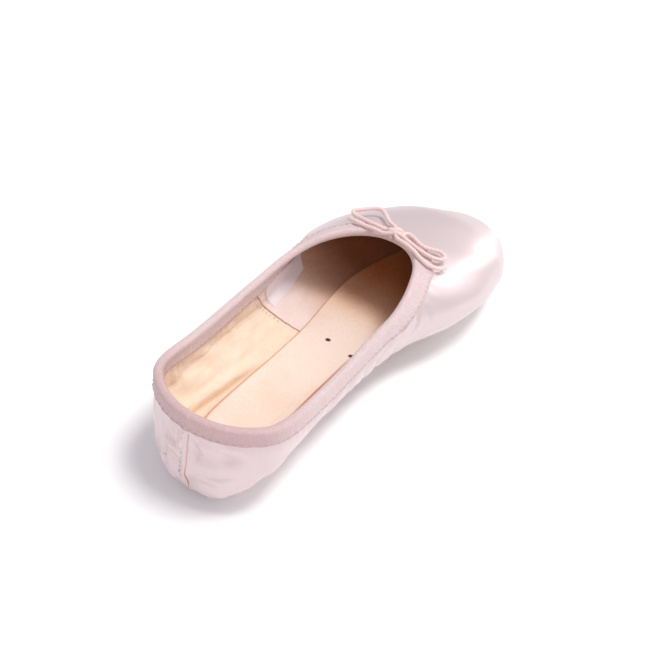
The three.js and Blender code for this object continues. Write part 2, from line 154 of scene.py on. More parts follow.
# %% Sections, collar, centre line and soles
# Columns: place as a share of the length, half width, widest level, crown, lift, squareness above, below
SECTIONS = np.array([
    [0.00, 0.50 * HEEL_WIDTH, HEEL_LEVEL, HEEL_CROWN, 0, 3.7, 1.2],
    [0.16, 0.50 * HEEL_WIDTH, HEEL_LEVEL, HEEL_CROWN, 0, 3.7, 1.2],
    [0.30, 0.51 * HEEL_WIDTH, 0.95 * HEEL_LEVEL, HEEL_CROWN, 0.7 * ARCH_LIFT, 3.6, 1.3],
    [0.42, 0.50 * WAIST_WIDTH, 0.87 * HEEL_LEVEL, HEEL_CROWN, ARCH_LIFT, 2.8, 1.5],
    [0.52, 0.56 * WAIST_WIDTH, 0.93 * BALL_LEVEL, 1.1 * VAMP_HEIGHT, 0.6 * ARCH_LIFT, 2.2, 1.5],
    [0.64, 0.49 * BALL_WIDTH, BALL_LEVEL, VAMP_HEIGHT, 0, 2.06, 1.5],
    [0.70, 0.50 * BALL_WIDTH, BALL_LEVEL, 0.97 * VAMP_HEIGHT, 0, 2, 1.5],
    [0.84, 0.50 * BOX_WIDTH, 0.82 * BALL_LEVEL, BOX_HEIGHT, 0.15 * TOE_LIFT, 1.95, 1.6],
    [1.00, 0.50 * PLATFORM_WIDTH, PLATFORM_LEVEL, PLATFORM_HEIGHT, TOE_LIFT, 1.9, 1.9],
])
COLLAR = np.array([
    [0.00, HEEL_HEIGHT], [0.20, 0.83 * HEEL_HEIGHT], [0.36, WAIST_HEIGHT],
    [0.47, 1.03 * WAIST_HEIGHT], [0.60, THROAT_SIDE_HEIGHT], [1.00, THROAT_SIDE_HEIGHT],
])
CENTRE_LINE = np.array([
    [0.00, -0.41 * SWING], [0.20, 0.11 * SWING], [0.45, 0.61 * SWING],
    [0.70, 0.04 * SWING], [0.85, -0.63 * SWING], [1.00, -1.01 * SWING],
])
# Columns of the insole: place, half width, how far its middle lies aside of the centre line
INSOLE = np.array([
    [0.075, 0.13 * BALL_WIDTH, 0], [0.16, 0.16 * BALL_WIDTH, 0], [0.42, 0.16 * BALL_WIDTH, -0.37 * SWING],
    [0.70, 0.25 * BALL_WIDTH, 0], [0.86, 0.22 * BALL_WIDTH, 0], [0.93, 0.17 * BALL_WIDTH, 0],
])
OUTSOLE = np.array([
    [0.055, 0.13 * BALL_WIDTH], [0.14, 0.145 * BALL_WIDTH], [0.42, 0.155 * BALL_WIDTH],
    [0.68, 0.29 * BALL_WIDTH], [0.84, 0.26 * BALL_WIDTH], [0.925, 0.18 * BALL_WIDTH],
])
print("sections", len(SECTIONS))

# %% [markdown]
# ## Curves through the tables
# The side of a real last has no dents between its sections. Straight lines between the rows would show
# as corners, and an ordinary spline swings past them, so the slopes are chosen to never overshoot.

# %% A smooth curve for each column
CURVE_SAMPLES = 3001


def through_rows(rows, column):
    """A curve in cubic pieces whose slope at a row is a weighted harmonic mean of the rises beside it."""
    xs = rows[:, 0] * LENGTH
    ys = rows[:, column]
    steps = np.diff(xs)
    rises = np.diff(ys) / steps
    slopes = np.zeros(len(xs))
    for i in range(1, len(xs) - 1):
        before, after = rises[i - 1], rises[i]
        if before * after > 0:
            first = 2 * steps[i] + steps[i - 1]
            second = steps[i] + 2 * steps[i - 1]
            slopes[i] = (first + second) / (first / before + second / after)
    places = np.linspace(xs[0], xs[-1], CURVE_SAMPLES)
    i = np.clip(np.searchsorted(xs, places, side="right") - 1, 0, len(steps) - 1)
    t = (places - xs[i]) / steps[i]
    ease = t * t * (3 - 2 * t)
    tangents = t * (1 - t) ** 2 * slopes[i] - t * t * (1 - t) * slopes[i + 1]
    heights = ys[i] + ease * (ys[i + 1] - ys[i]) + steps[i] * tangents
    return lambda x: np.interp(x, places, heights)


half_width, widest_level, crown, lift, square_above, square_below = (
    through_rows(SECTIONS, column) for column in range(1, 7)
)
collar_height = through_rows(COLLAR, 1)
aside = through_rows(CENTRE_LINE, 1)
insole_half = through_rows(INSOLE, 1)
insole_aside = through_rows(INSOLE, 2)
outsole_half = through_rows(OUTSOLE, 1)
print("half width of the waist", float(half_width(0.42 * LENGTH)))

# %% [markdown]
# ## The outer form
# The body of the shoe meets its heel, its sole and its flat toe in soft edges. A value that is below zero
# inside and above zero outside gives all of them: each part has a value, and the largest one counts. Near
# an edge, where two values are close, the larger is raised a little, which rounds the edge.

# %% The form and the opening as values
def soft_max(a, b, reach):
    """The larger of two values, raised by up to a quarter of the reach where they are close."""
    near = np.maximum(reach - np.abs(a - b), 0) / reach
    return np.maximum(a, b) + 0.25 * near * near * reach


def underside(x):
    """Level of the cloth under the foot: sole, gap and the lift of the arch and toe."""
    return SOLE_THICKNESS + SHEET_CLEARANCE + lift(x)


def form_value(x, y, z):
    """Below zero inside the shoe and above zero outside it, in rough millimetres near its skin.

    The body is half the ball's width times (side^p + height^p)^(1/p) - 1, and the heel is the same in
    plan. The profile moves the back of the heel forward towards the foot and towards the collar.
    """
    low = np.clip((HEEL_LEVEL - z) / (HEEL_LEVEL - SOLE_THICKNESS), 0, 1)
    high = np.clip((z - HEEL_LEVEL) / (HEEL_HEIGHT - HEEL_LEVEL), 0, 1.5)
    profile = HEEL_FOOT * (1 - np.sqrt(1 - low * low)) + HEEL_SPRING * high * high
    along = x - profile * np.clip(1 - x / (HEEL_FADE * LENGTH), 0, 1)
    half = half_width(along)
    middle = widest_level(along)
    above = z >= middle
    reach = np.where(above, crown(along) - middle, middle - underside(along) + SOLE_CUT)
    power = np.where(above, square_above(along), square_below(along))
    side = np.abs(y) / half
    height = np.abs(z - middle) / reach
    body = 0.5 * BALL_WIDTH * ((side**power + height**power) ** (1 / power) - 1)
    end = np.maximum(1 - along / HEEL_END, 0)
    wide = np.abs(y) / (half + END_SLACK)
    plan = HEEL_END * ((wide**END_ROUND + end**END_ROUND) ** (1 / END_ROUND) - 1)
    value = soft_max(body, plan, SOLE_EDGE)
    value = soft_max(value, underside(along) - z, SOLE_EDGE)
    return soft_max(value, x - LENGTH, 2 * PLATFORM_EDGE)


def opening_value(x, y, z):
    """Above zero in the opening: over the collar's curve and inside the rounded plan of the throat."""
    ahead = np.maximum((x - THROAT_START) / (THROAT_AT - THROAT_START), 0)
    across = np.abs(y) / (0.5 * THROAT_WIDTH)
    rounded = (across**THROAT_ROUND + ahead**THROAT_ROUND) ** (1 / THROAT_ROUND)
    in_plan = np.where(x < THROAT_START, LENGTH, 0.5 * THROAT_WIDTH * (1 - rounded))
    return -soft_max(collar_height(x) - z, -in_plan, SOLE_EDGE)


def outward(points, step=0.35):
    """Unit normals of the form, from the differences of its value over a small step each way."""
    x, y, z = points[..., 0], points[..., 1], points[..., 2]
    slope = np.stack([
        form_value(x + step, y, z) - form_value(x - step, y, z),
        form_value(x, y + step, z) - form_value(x, y - step, z),
        form_value(x, y, z + step) - form_value(x, y, z - step),
    ], axis=-1)
    return slope / np.linalg.norm(slope, axis=-1, keepdims=True)


HALVINGS = 30


def first_true(low, high, test):
    """Where a test turns true between low and high, by halving the interval for a whole array."""
    for _ in range(HALVINGS):
        middle = 0.5 * (low + high)
        hit = test(middle)
        high = np.where(hit, middle, high)
        low = np.where(hit, low, middle)
    return 0.5 * (low + high)


PLAN_ROUND = 2.4


def plan_half(rows, width_at, inset):
    """Half width of a sheet from above: the table's width less the inset, rounded at both ends."""
    start = rows[0, 0] * LENGTH + inset
    end = rows[-1, 0] * LENGTH - inset
    rounding = width_at(0.5 * (start + end)) - inset

    def half(x):
        rear = np.clip(1 - (x - start) / rounding, 0, 1)
        front = np.clip(1 - (end - x) / rounding, 0, 1)
        return (width_at(x) - inset) * np.sqrt(np.maximum(1 - np.maximum(rear, front) ** PLAN_ROUND, 0))

    return half


opening_half = plan_half(INSOLE, insole_half, INSOLE_LAP)


def smooth(value, low, high):
    """0 below low, 1 above high, and 3t^2 - 2t^3 between them."""
    t = np.clip((value - low) / (high - low), 0, 1)
    return t * t * (3 - 2 * t)


def to_shoe(points):
    """From the straight frame of the tables to the shoe's own: aside by the centre line, then shifted."""
    moved = points.copy()
    moved[..., 1] += aside(points[..., 0])
    moved[..., 0] += SHIFT
    return moved


print("opening in the sole", float(2 * opening_half(0.42 * LENGTH)))

# %% [markdown]
# ## Ribs
# The skin could be a subdivided box pushed into shape. Here it is read off the form itself, along upright
# planes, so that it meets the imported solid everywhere. The planes fan out round the toe and the heel and
# stand side by side between them. The list starts at the back of the heel and goes round by the left side.

# %% Planes of the ribs
FINER = 7
TOE_FAN = np.array([0, 4, 8, 12, 16.5, 22, 28, 35, 43, 52, 61, 70, 80, 90])
HEEL_FAN = np.array([90, 102, 114, 126, 138, 149, 159, 168, 174, 177.2, 180])
SIDE_RIBS = 9


def finer(values):
    """The same run of values with FINER steps for each one."""
    steps = len(values) - 1
    return np.interp(np.arange(steps * FINER) / FINER, np.arange(steps + 1), values)


toe_angles = finer(TOE_FAN)
heel_angles = finer(HEEL_FAN)
side_shares = np.arange(SIDE_RIBS * FINER) / (SIDE_RIBS * FINER)
angles = np.concatenate([toe_angles, np.full(len(side_shares), 90.0), heel_angles, [180.0]])
shares = np.concatenate([np.zeros(len(toe_angles)), side_shares, np.ones(len(heel_angles) + 1)])
angles = np.concatenate([angles[::-1], -angles[1:-1]])
shares = np.concatenate([shares[::-1], shares[1:-1]])
hub = (TOE_HUB + (HEEL_HUB - TOE_HUB) * shares)[:, None]
ahead = np.cos(np.radians(angles))[:, None]
across = np.sin(np.radians(angles))[:, None]
RIBS = len(angles)
print("ribs", RIBS)

# %% [markdown]
# ## The skin along a rib
# In its plane, a rib has a hub well inside the foot. A ray turns round the hub, and the place where it
# leaves the form is on the skin.

# %% Rays from the hub of each rib
def in_plane(radius, z):
    """Points at a distance from the hub line and a level: hub + radius * (cos, sin), level."""
    return np.stack([hub + ahead * radius, across * radius, z + 0 * radius], axis=-1)


def outside(radius, z):
    """True where a point of the rib's plane lies outside the form."""
    points = in_plane(radius, z)
    return form_value(points[..., 0], points[..., 1], points[..., 2]) > 0


widest = first_true(np.zeros((RIBS, 1)), np.full((RIBS, 1), LENGTH), lambda r: outside(r, BALL_LEVEL))
hub_radius = np.maximum(0, widest - 0.5 * (BALL_WIDTH + PLATFORM_EDGE))
hub_level = widest_level(hub + ahead * hub_radius)


def surface(degrees):
    """The skin's point on the ray at each angle above the level, found by halving."""
    turn = np.radians(degrees)
    dr, dz = np.cos(turn), np.sin(turn)
    zero = np.zeros_like(turn)
    t = first_true(zero, zero + LENGTH, lambda s: outside(hub_radius + dr * s, hub_level + dz * s))
    return in_plane(hub_radius + dr * t, hub_level + dz * t)


def is_wall(degrees):
    """True where the ray meets cloth ahead of the hub, below the edge of the collar."""
    p = surface(degrees)
    is_ahead = (p[..., 0] - hub) * ahead + p[..., 1] * across >= 0
    return is_ahead & (opening_value(p[..., 0], p[..., 1], p[..., 2]) <= 0)


def is_opening(degrees):
    """True where the ray meets the hole in the sole, which the insole covers."""
    p = surface(degrees)
    return np.abs(p[..., 1]) < opening_half(p[..., 0])


# %% [markdown]
# ## Rim and lower edge
# On each rib the cloth runs from the collar's rim down the side and under the foot to the hole in the
# sole. Both ends are first found in coarse turns and then by halving.

# %% Angles of the rim and of the lower edge
NOT_FOUND = -200.0
TRIAL_STEP = 5
LOWEST_SIDE = -20

rim_start = np.full((RIBS, 1), NOT_FOUND)
edge_start = np.full((RIBS, 1), NOT_FOUND)
for degrees in range(165, -95, -TRIAL_STEP):
    trial = np.full((RIBS, 1), float(degrees))
    allowed = (trial <= 90) | (hub_radius > 0)
    rim_start = np.where((rim_start == NOT_FOUND) & allowed & is_wall(trial), trial, rim_start)
    if degrees <= LOWEST_SIDE:
        edge_start = np.where((edge_start == NOT_FOUND) & is_opening(trial), trial, edge_start)
rim = -first_true(-(rim_start + TRIAL_STEP), -rim_start, lambda turned: is_wall(-turned))
edge = -first_true(-(edge_start + TRIAL_STEP), -edge_start, lambda turned: is_opening(-turned))
print("rim", rim.min().round(1), rim.max().round(1))

# %% [markdown]
# ## Length and turning along each rib
# Evenly spaced rows would leave corners where the cloth turns under the foot. Each rib is first followed
# in many small steps, and both its length and its turning are added up along it.

# %% Dense steps along each rib
DENSE = 160
TURN_WEIGHT = 14.0
dense_angles = rim + (edge - rim) * np.linspace(0, 1, DENSE + 1)
dense_points = surface(dense_angles)
dense_steps = np.diff(dense_points, axis=1)
dense_lengths = np.linalg.norm(dense_steps, axis=2)
dense_ways = dense_steps / dense_lengths[..., None]
turns = np.arccos(np.clip(np.sum(dense_ways[:, 1:] * dense_ways[:, :-1], axis=2), -1, 1))
turns = np.concatenate([turns, np.zeros((RIBS, 1))], axis=1)
arc = np.concatenate([np.zeros((RIBS, 1)), np.cumsum(dense_lengths, axis=1)], axis=1)
weight = np.concatenate([np.zeros((RIBS, 1)), np.cumsum(dense_lengths + TURN_WEIGHT * turns, axis=1)], axis=1)
print("longest rib", arc[:, -1].max().round(1))

# %% [markdown]
# ## Rows along each rib
# The tape has one width, measured square to the rim, so on a rib that crosses the rim at a slant its rows
# reach farther down. Below them the rows lie closer together where the skin turns quickly.

# %% Rows that span the binding, and the rest
LEAST_SLANT = 0.7


def read_rows(table, values, wanted):
    """Values read at the wanted places of a table, rib by rib."""
    return np.array([np.interp(wanted[i], table[i], values[i]) for i in range(RIBS)])


rim_points = surface(rim)[:, 0]
rim_way = np.roll(rim_points, -1, axis=0) - np.roll(rim_points, 1, axis=0)
rim_way /= np.linalg.norm(rim_way, axis=1, keepdims=True)
down_way = surface(read_rows(arc, dense_angles, np.ones((RIBS, 1))))[:, 0] - rim_points
down_way /= np.linalg.norm(down_way, axis=1, keepdims=True)
slant = np.maximum(np.linalg.norm(np.cross(rim_way, down_way), axis=1), LEAST_SLANT)
binding_reach = (BINDING_WIDTH / slant)[:, None]


def row_angles(count, first_count):
    """Angles of the rows: the first ones evenly over the binding, the rest evenly in length and turning."""
    first = binding_reach * np.linspace(0, 1, first_count)
    start = read_rows(arc, weight, binding_reach)
    rest = start + (weight[:, -1:] - start) * np.linspace(0, 1, count - first_count + 1)[1:]
    below = read_rows(weight, dense_angles, rest)
    return np.concatenate([read_rows(arc, dense_angles, first), below], axis=1)


def wall_at(points):
    """Thickness of the wall: cloth at the sides, and pasted layers from the throat to the box."""
    t = np.clip((points[..., 0] - THROAT_AT) / (0.5 * BALL_WIDTH), 0, 1)
    return CLOTH_WALL + (BOX_WALL - CLOTH_WALL) * t * t * (3 - 2 * t)


SEAM_SPREAD = 1.6


def seam_rise(points):
    """The back seam's strip: a soft ridge exp(-(y / spread)^2) that fades out towards the foot."""
    near = np.exp(-((points[..., 1] / SEAM_SPREAD) ** 2))
    above = np.clip((points[..., 2] - SOLE_THICKNESS) / HEEL_FOOT - 1, 0, 1)
    return np.where(points[..., 0] < HEEL_HUB, SEAM_RIDGE * near * above, 0)


BINDING_ROWS = 9
outer_angles = row_angles(96, BINDING_ROWS)
inner_angles = row_angles(60, BINDING_ROWS)
outer_points = surface(outer_angles)
outer_normals = outward(outer_points)
inner_bases = surface(inner_angles)
inner_normals = outward(inner_bases)
print("outer rows", outer_points.shape)

# %% [markdown]
# ## Creases placed one by one
# Satin creases where it was pulled over the last, at the waist and round the heel. A cloth simulation
# would crease where it likes, so each crease is given as a path on the skin in the shoe's own
# frame, with its width and depth.

# %% Paths of the creases
# Columns: path of points, width, depth
CREASES = [
    ([(-115, -8, 20), (-114, -15, 20), (-111, -22, 21)], 0.8, 0.3),
    ([(-116, 8, 33), (-117, 4, 29), (-117, 1, 26)], 1.6, 0.55),
    ([(-115, 9, 26), (-117, 4, 22), (-117, -1, 19)], 1.8, 0.45),
    ([(-117, -3, 31), (-114, -13, 30), (-110, -21, 30)], 2.6, 0.35),
    ([(-116, -4, 15), (-113, -12, 14), (-107, -20, 15)], 2.4, 0.2),
    ([(-98, -28, 27), (-88, -31, 24), (-76, -31, 20)], 2.8, 0.3),
    ([(6, -30, 36), (2, -30, 33), (-2, -30, 30)], 0.9, 0.5),
    ([(10, -31, 36), (9, -32, 31), (5, -32, 26)], 0.9, 0.4),
    ([(14, -32, 38), (16, -35, 33), (15, -37, 28)], 1.4, 0.35),
    ([(-2, -28, 33), (-8, -28, 27), (-16, -28, 22)], 1.4, 0.4),
    ([(-12, -27, 32), (-20, -28, 27), (-30, -28, 22)], 1.6, 0.4),
    ([(-26, -27, 31), (-36, -28, 26), (-48, -29, 21)], 1.8, 0.4),
    ([(-44, -28, 31), (-54, -29, 26), (-64, -30, 20)], 2.0, 0.35),
    ([(-16, -29, 24), (-17, -27, 18), (-14, -24, 13)], 1.8, 0.6),
    ([(-26, -28, 24), (-27, -26, 18), (-25, -23, 12)], 1.8, 0.6),
    ([(-4, -31, 24), (-4, -30, 18), (0, -27, 12)], 2.0, 0.5),
    ([(-40, -28, 24), (-41, -26, 17), (-39, -22, 11)], 2.0, 0.45),
    ([(8, 36, 36), (4, 37, 31), (0, 36, 25)], 1.2, 0.45),
    ([(-6, 35, 34), (-13, 35, 28), (-22, 34, 22)], 1.6, 0.4),
    ([(-24, 34, 32), (-34, 34, 27), (-46, 33, 21)], 1.8, 0.4),
    ([(-46, 34, 32), (-57, 33, 27), (-68, 32, 20)], 2.0, 0.35),
    ([(-12, 35, 23), (-12, 33, 17), (-9, 30, 12)], 1.9, 0.5),
    ([(-30, 33, 23), (-31, 31, 17), (-29, 27, 12)], 1.9, 0.5),
    ([(-98, 22, 31), (-106, 15, 27), (-113, 8, 22)], 2.0, 0.35),
    ([(-115, 7, 34), (-115, 7.5, 26), (-115, 7.5, 18), (-113.5, 7.5, 9)], 1.4, 0.6),
    ([(-116.5, 4.5, 36), (-116.5, 3.5, 32), (-117, 2.5, 28)], 1.2, 0.6),
    ([(-116.5, 1.5, 37), (-117, 0.8, 33), (-117, 1.5, 29)], 0.9, 0.4),
    ([(-114, -15, 36), (-112, -20, 32), (-108, -25, 30)], 2.2, 0.4),
    ([(-116.5, -6, 36), (-116, -8, 31), (-116, -9, 26)], 1.3, 0.35),
    ([(-114, 10, 17), (-115.5, 6, 13), (-115, 1, 8)], 1.3, 0.55),
    ([(-114, -7, 12), (-110, -16, 9), (-103, -22, 8)], 1.4, 0.4),
    ([(-106, -26, 20), (-98, -29, 16), (-88, -29, 13)], 2.4, 0.5),
]
print("creases", len(CREASES))

# %% [markdown]
# ## The shape of a crease
# Across a crease the cloth sinks into a soft trough and rises into a low lip on both sides, and along it
# the crease fades out at its ends. The bottom of a narrow crease is also given a painted shade.

# %% Troughs, lips and their shade
CREASE_STRENGTH = 1.35
HEEL_EXTRA = 0.6
LIP_HEIGHT = 0.45
NARROW_CREASE = 1.2


def near_path(points, path):
    """Distance to a path, and how far along it the nearest place is, from 0 to 1."""
    path = np.array(path, dtype=float)
    best = np.full(points.shape[:-1], 1e9)
    share = np.zeros(points.shape[:-1])
    for i in range(len(path) - 1):
        step = path[i + 1] - path[i]
        t = np.clip(((points - path[i]) @ step) / (step @ step), 0, 1)
        gap = np.linalg.norm(points - path[i] - t[..., None] * step, axis=-1)
        closer = gap < best
        best = np.where(closer, gap, best)
        share = np.where(closer, (i + t) / (len(path) - 1), share)
    return best, share


def end_fade(share):
    """From nearly 0 at both ends of a path to 1 in its middle: the sine of the share, to the power 0.6."""
    return np.sin(np.pi * np.clip(share, 0.02, 0.98)) ** 0.6


def crease_rise(points):
    """How far the cloth rises, lip less trough, and the painted shade at the bottom of a narrow crease.

    The trough is exp(-(gap / width)^2) and the lip the same hill, two widths away from the path.
    """
    rise = np.zeros(points.shape[:-1])
    shade = np.zeros(points.shape[:-1])
    strength = CREASE_STRENGTH * (1 + HEEL_EXTRA * smooth(-points[..., 0], 90, 108))
    for path, width, depth in CREASES:
        gap, share = near_path(points, path)
        fade = end_fade(share)
        trough = np.exp(-((gap / width) ** 2))
        lip = np.exp(-(((gap - 2 * width) / width) ** 2))
        rise += strength * depth * fade * (LIP_HEIGHT * lip - trough)
        shade = np.maximum(shade, depth * fade * trough**2 * min(1, NARROW_CREASE / width))
    return rise, shade


# %% [markdown]
# ## Waves, crumples and pleats
# Between its creases, cloth lasted by hand is never quite even, and at the heel it is crumpled. Under the
# toe and heel it is gathered into pleats. Sums and products of sines give both, and repeat each run.

# %% Unevenness of the cloth
WAVE_HEIGHT = 0.12
CRUMPLE_HEIGHT = 0.17
PLEAT_HEIGHT = 0.42
TOE_PLEATS = 34
HEEL_PLEATS = 22


def soft_waves(points):
    """Slow waves all over, and shorter crossed waves that fade in at the back of the heel."""
    x, y, z = points[..., 0], points[..., 1], points[..., 2]
    slow = np.sin(x / 9.0 + 0.11 * z) * np.cos(y / 7.0 + 0.4) + np.sin((x + 1.7 * z) / 5.3 + y / 11)
    crumple = np.sin((y + 0.8 * z) / 1.9 + np.sin(z / 3.1)) * np.sin((z - 0.5 * y) / 2.7 + np.sin(y / 4.0))
    crumple += 0.7 * np.sin((1.3 * z + 0.4 * y) / 1.5 + 2 * np.sin(y / 5.0)) * np.sin(y / 6.0 + 1)
    return WAVE_HEIGHT * slow + CRUMPLE_HEIGHT * crumple * smooth(-x, 94, 110)


def pleat_rise(points, normals):
    """Pleats like cos(count * turn) round the toe and heel, where the cloth turns under the sole's edge."""
    x, y = points[..., 0], points[..., 1]
    under = smooth(-normals[..., 2], 0.35, 0.85)
    clear = smooth(np.abs(y) - plan_half(OUTSOLE, outsole_half, 0)(x), 0.3, 2.5)
    toe_turn = np.arctan2(y, x - 0.78 * LENGTH)
    heel_turn = np.arctan2(y, HEEL_HUB - x)
    toe = smooth(x, 0.72 * LENGTH, 0.82 * LENGTH) * np.cos(TOE_PLEATS * toe_turn + 1.3 * np.sin(5 * toe_turn))
    heel = smooth(-x, -0.16 * LENGTH, -0.08 * LENGTH) * np.cos(HEEL_PLEATS * heel_turn)
    return PLEAT_HEIGHT * under * clear * (toe + heel)


# %% [markdown]
# ## The satin's relief
# All the relief is added up along the skin's normals. The tape holds the cloth flat, so creases fade out
# under it, and small gathers start just below it.

# %% The outer skin
GATHER_HEIGHT = 0.16

closed_rim = np.vstack([rim_points, rim_points[:1]])
run_round = np.concatenate([[0], np.cumsum(np.linalg.norm(np.diff(closed_rim, axis=0), axis=1))])
run_share = 2 * np.pi * run_round[:-1, None] / run_round[-1]
skin = to_shoe(outer_points)
below_rim = np.linalg.norm(outer_points - outer_points[:, :1], axis=2)
gathers = np.sin(73 * run_share + 2.1 * np.sin(5 * run_share)) * (0.6 + 0.4 * np.sin(11 * run_share))
gathers = GATHER_HEIGHT * gathers * smooth(below_rim, 6.5, 8.5) * (1 - smooth(below_rim, 9, 16))
under_binding = smooth(below_rim, 5.5, 10)
rise = seam_rise(outer_points)
creased, crease_shade = crease_rise(skin)
off_underside = smooth(outer_normals[..., 2], -0.8, -0.4)
rise += under_binding * creased * off_underside + under_binding * soft_waves(skin) * off_underside
rise += pleat_rise(outer_points, outer_normals) + gathers * (1 - smooth(outer_points[..., 0], 140, 160))
skin += outer_normals * rise[..., None]
print("deepest crease", rise.min().round(2), "highest fold", rise.max().round(2))

# %% [markdown]
# ## Folds in the lining
# Inside, the cotton lining is glued loosely. It bags into broad folds at the heel and wrinkles below the
# rim. The folds are listed like the creases, but they stand up instead of sinking.

# %% Paths of the lining's folds
# Columns: path of a fold in the lining, width, depth
LINING_FOLDS = [
    ([(-110, 6, 26), (-99, 15, 18), (-86, 20, 14), (-72, 20.5, 12), (-56, 20, 11), (-36, 18.5, 10)],
     1.7, 0.7),
    ([(-106, -3, 18), (-99, -5, 13), (-92, -3, 11)], 2.2, 0.5),
    ([(-70, 30, 28), (-62, 29, 22), (-56, 27, 17)], 3.2, 0.6),
    ([(-46, 31, 27), (-42, 29, 21), (-40, 26, 15)], 3.2, 0.6),
    ([(-88, 28, 30), (-84, 27, 24), (-76, 25, 18)], 3.4, 0.6),
    ([(-60, -28, 26), (-52, -27, 20), (-44, -25, 15)], 3.2, 0.6),
    ([(-112, -4, 30), (-110, -4, 24), (-106, -4, 16)], 2.6, 0.5),
]
print("folds", len(LINING_FOLDS))

# %% The lining's skin
FOLD_STRENGTH = 2.0
FOLD_SIDES = 0.4
LINING_WAVES = 0.14
WRINKLE_HEIGHT = 0.4

flat_lining = to_shoe(inner_bases - inner_normals * wall_at(inner_bases)[..., None])
fold_rise = np.zeros(flat_lining.shape[:2])
for path, width, depth in LINING_FOLDS:
    gap, share = near_path(flat_lining, path)
    hill = np.exp(-((gap / width) ** 2))
    hollow = np.exp(-(((gap - 2 * width) / width) ** 2))
    fold_rise += FOLD_STRENGTH * depth * end_fade(share) * (hill - FOLD_SIDES * hollow)
lx, ly, lz = flat_lining[..., 0], flat_lining[..., 1], flat_lining[..., 2]
waves = np.sin(lx / 5.1 + 0.2 * lz) * np.sin(lz / 4.3 + ly / 9) + np.sin(lx / 2.9 + 0.3 * ly)
fold_rise += LINING_WAVES * waves
inside_rim = np.linalg.norm(inner_bases - inner_bases[:, :1], axis=2)
wrinkles = np.sin(81 * run_share + 2.6 * np.sin(4 * run_share)) * (0.5 + 0.5 * np.sin(9 * run_share + 1))
near_rim = 1 - smooth(inside_rim, 12, 23)
fold_rise += WRINKLE_HEIGHT * wrinkles * near_rim * (1 - smooth(inner_bases[..., 0], 100, 125))
off_edges = smooth(inside_rim, 8, 11)
off_edges *= smooth(np.linalg.norm(inner_bases - inner_bases[:, -1:], axis=2), 4, 8)
lining = flat_lining - inner_normals * (fold_rise * off_edges)[..., None]
print("highest fold of the lining", fold_rise.max().round(2))

# %% [markdown]
# ## Painted shade in the lining
# The lining is painted a little yellow as shade, in a line beside the long fold and in the troughs of its
# wrinkles. The painted shade is a value at each point, kept on the mesh for its material, so it follows
# the folds exactly.

# %% Painted shade at each point of the lining
FOLD_SHADE_ASIDE = (0, 2.3, 1.4)
WRINKLE_SHADE = 0.3

# A line of painted shade beside the long fold, and more in the troughs of the wrinkles
beside_fold = np.array(LINING_FOLDS[0][0]) - np.array(FOLD_SHADE_ASIDE)
fold_shade_gap, fold_shade_share = near_path(flat_lining, beside_fold)
painted_crease_shade = np.exp(-(fold_shade_gap**2)) * end_fade(fold_shade_share)
painted_crease_shade = np.maximum(painted_crease_shade, WRINKLE_SHADE * np.clip(-wrinkles, 0, 1) * (1 - smooth(inside_rim, 12, 22)))
print("shaded points", int((painted_crease_shade > 0.1).sum()))

# %% [markdown]
# ## From a grid of points to a piece
# Each piece is a grid of points worked out above. A mesh takes the points in metres and four-cornered
# faces between neighbours, and its UV map counts 100 mm as one. A closed grid has its faces turned over
# if its volume comes out below zero, so that they point outwards.

# %% Meshes and pieces
def link(name, mesh, material, node=None):
    """A piece of the scene from a mesh, riding on the shoe's one body."""
    mesh.materials.append(material)
    mesh.polygons.foreach_set("use_smooth", [True] * len(mesh.polygons))
    piece = bpy.data.objects.new(name, mesh)
    bpy.context.scene.collection.objects.link(piece)
    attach(piece, "root")
    if node:
        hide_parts(*node)
    return piece


def signed_volume(points, quads):
    """Six times the volume inside the faces: the sum of cross products of their corners."""
    a, b, c, d = (points[quads[:, k]] for k in range(4))
    return np.sum(np.cross(a, b) * c) + np.sum(np.cross(a, c) * d)


UV_UNIT = 100


def grid_mesh(name, grid, around=False, rows_closed=False):
    """Quads over a grid of points (columns, rows), joined round in either direction."""
    columns, rows = grid.shape[:2]
    points = grid.reshape(-1, 3)
    i = np.arange(columns if around else columns - 1)[:, None]
    j = np.arange(rows if rows_closed else rows - 1)[None, :]
    i_next = (i + 1) % columns
    j_next = (j + 1) % rows
    quads = np.stack([i * rows + j, i * rows + j_next, i_next * rows + j_next, i_next * rows + j], axis=-1)
    quads = quads.reshape(-1, 4)
    step_u = np.linalg.norm(np.roll(grid, -1, axis=0) - grid, axis=2).max(axis=1)
    step_v = np.linalg.norm(np.roll(grid, -1, axis=1) - grid, axis=2).mean(axis=0)
    u = np.concatenate([[0], np.cumsum(step_u)]) / UV_UNIT
    v = np.concatenate([[0], np.cumsum(step_v)]) / UV_UNIT
    here, below = i + 0 * j, j + 0 * i
    corner_u = np.stack([u[here], u[here], u[here + 1], u[here + 1]], axis=-1).reshape(-1, 4)
    corner_v = np.stack([v[below], v[below + 1], v[below + 1], v[below]], axis=-1).reshape(-1, 4)
    if signed_volume(points, quads) < 0 and (around or rows_closed):
        quads = quads[:, ::-1]
        corner_u = corner_u[:, ::-1]
        corner_v = corner_v[:, ::-1]
    mesh = bpy.data.meshes.new(name)
    mesh.from_pydata((points / 1000).tolist(), [], quads.tolist())
    layer = mesh.uv_layers.new(name="UVMap")
    layer.data.foreach_set("uv", np.stack([corner_u, corner_v], axis=-1).ravel())
    return mesh


# %% [markdown]
# ## Tubes for thread and cord
# Cords and seams are tubes along a path. A curve object with a bevel would do, but a cord here is a rope
# of twisted strands, so its cross section is worked out at each point of a smooth path.

# %% Paths and tubes
def frames_along(path):
    """Unit tangent and two sideways directions at each point of a path, turning as little as may be."""
    tangent = np.gradient(path, axis=0)
    tangent /= np.linalg.norm(tangent, axis=1, keepdims=True)
    side = np.zeros_like(path)
    reference = np.cross(tangent[0], [0.3, 0.2, 1.0])
    for i, way in enumerate(tangent):
        reference = reference - way * (reference @ way)
        reference /= np.linalg.norm(reference)
        side[i] = reference
    return tangent, side, np.cross(tangent, side)


PATH_SAMPLES = 24


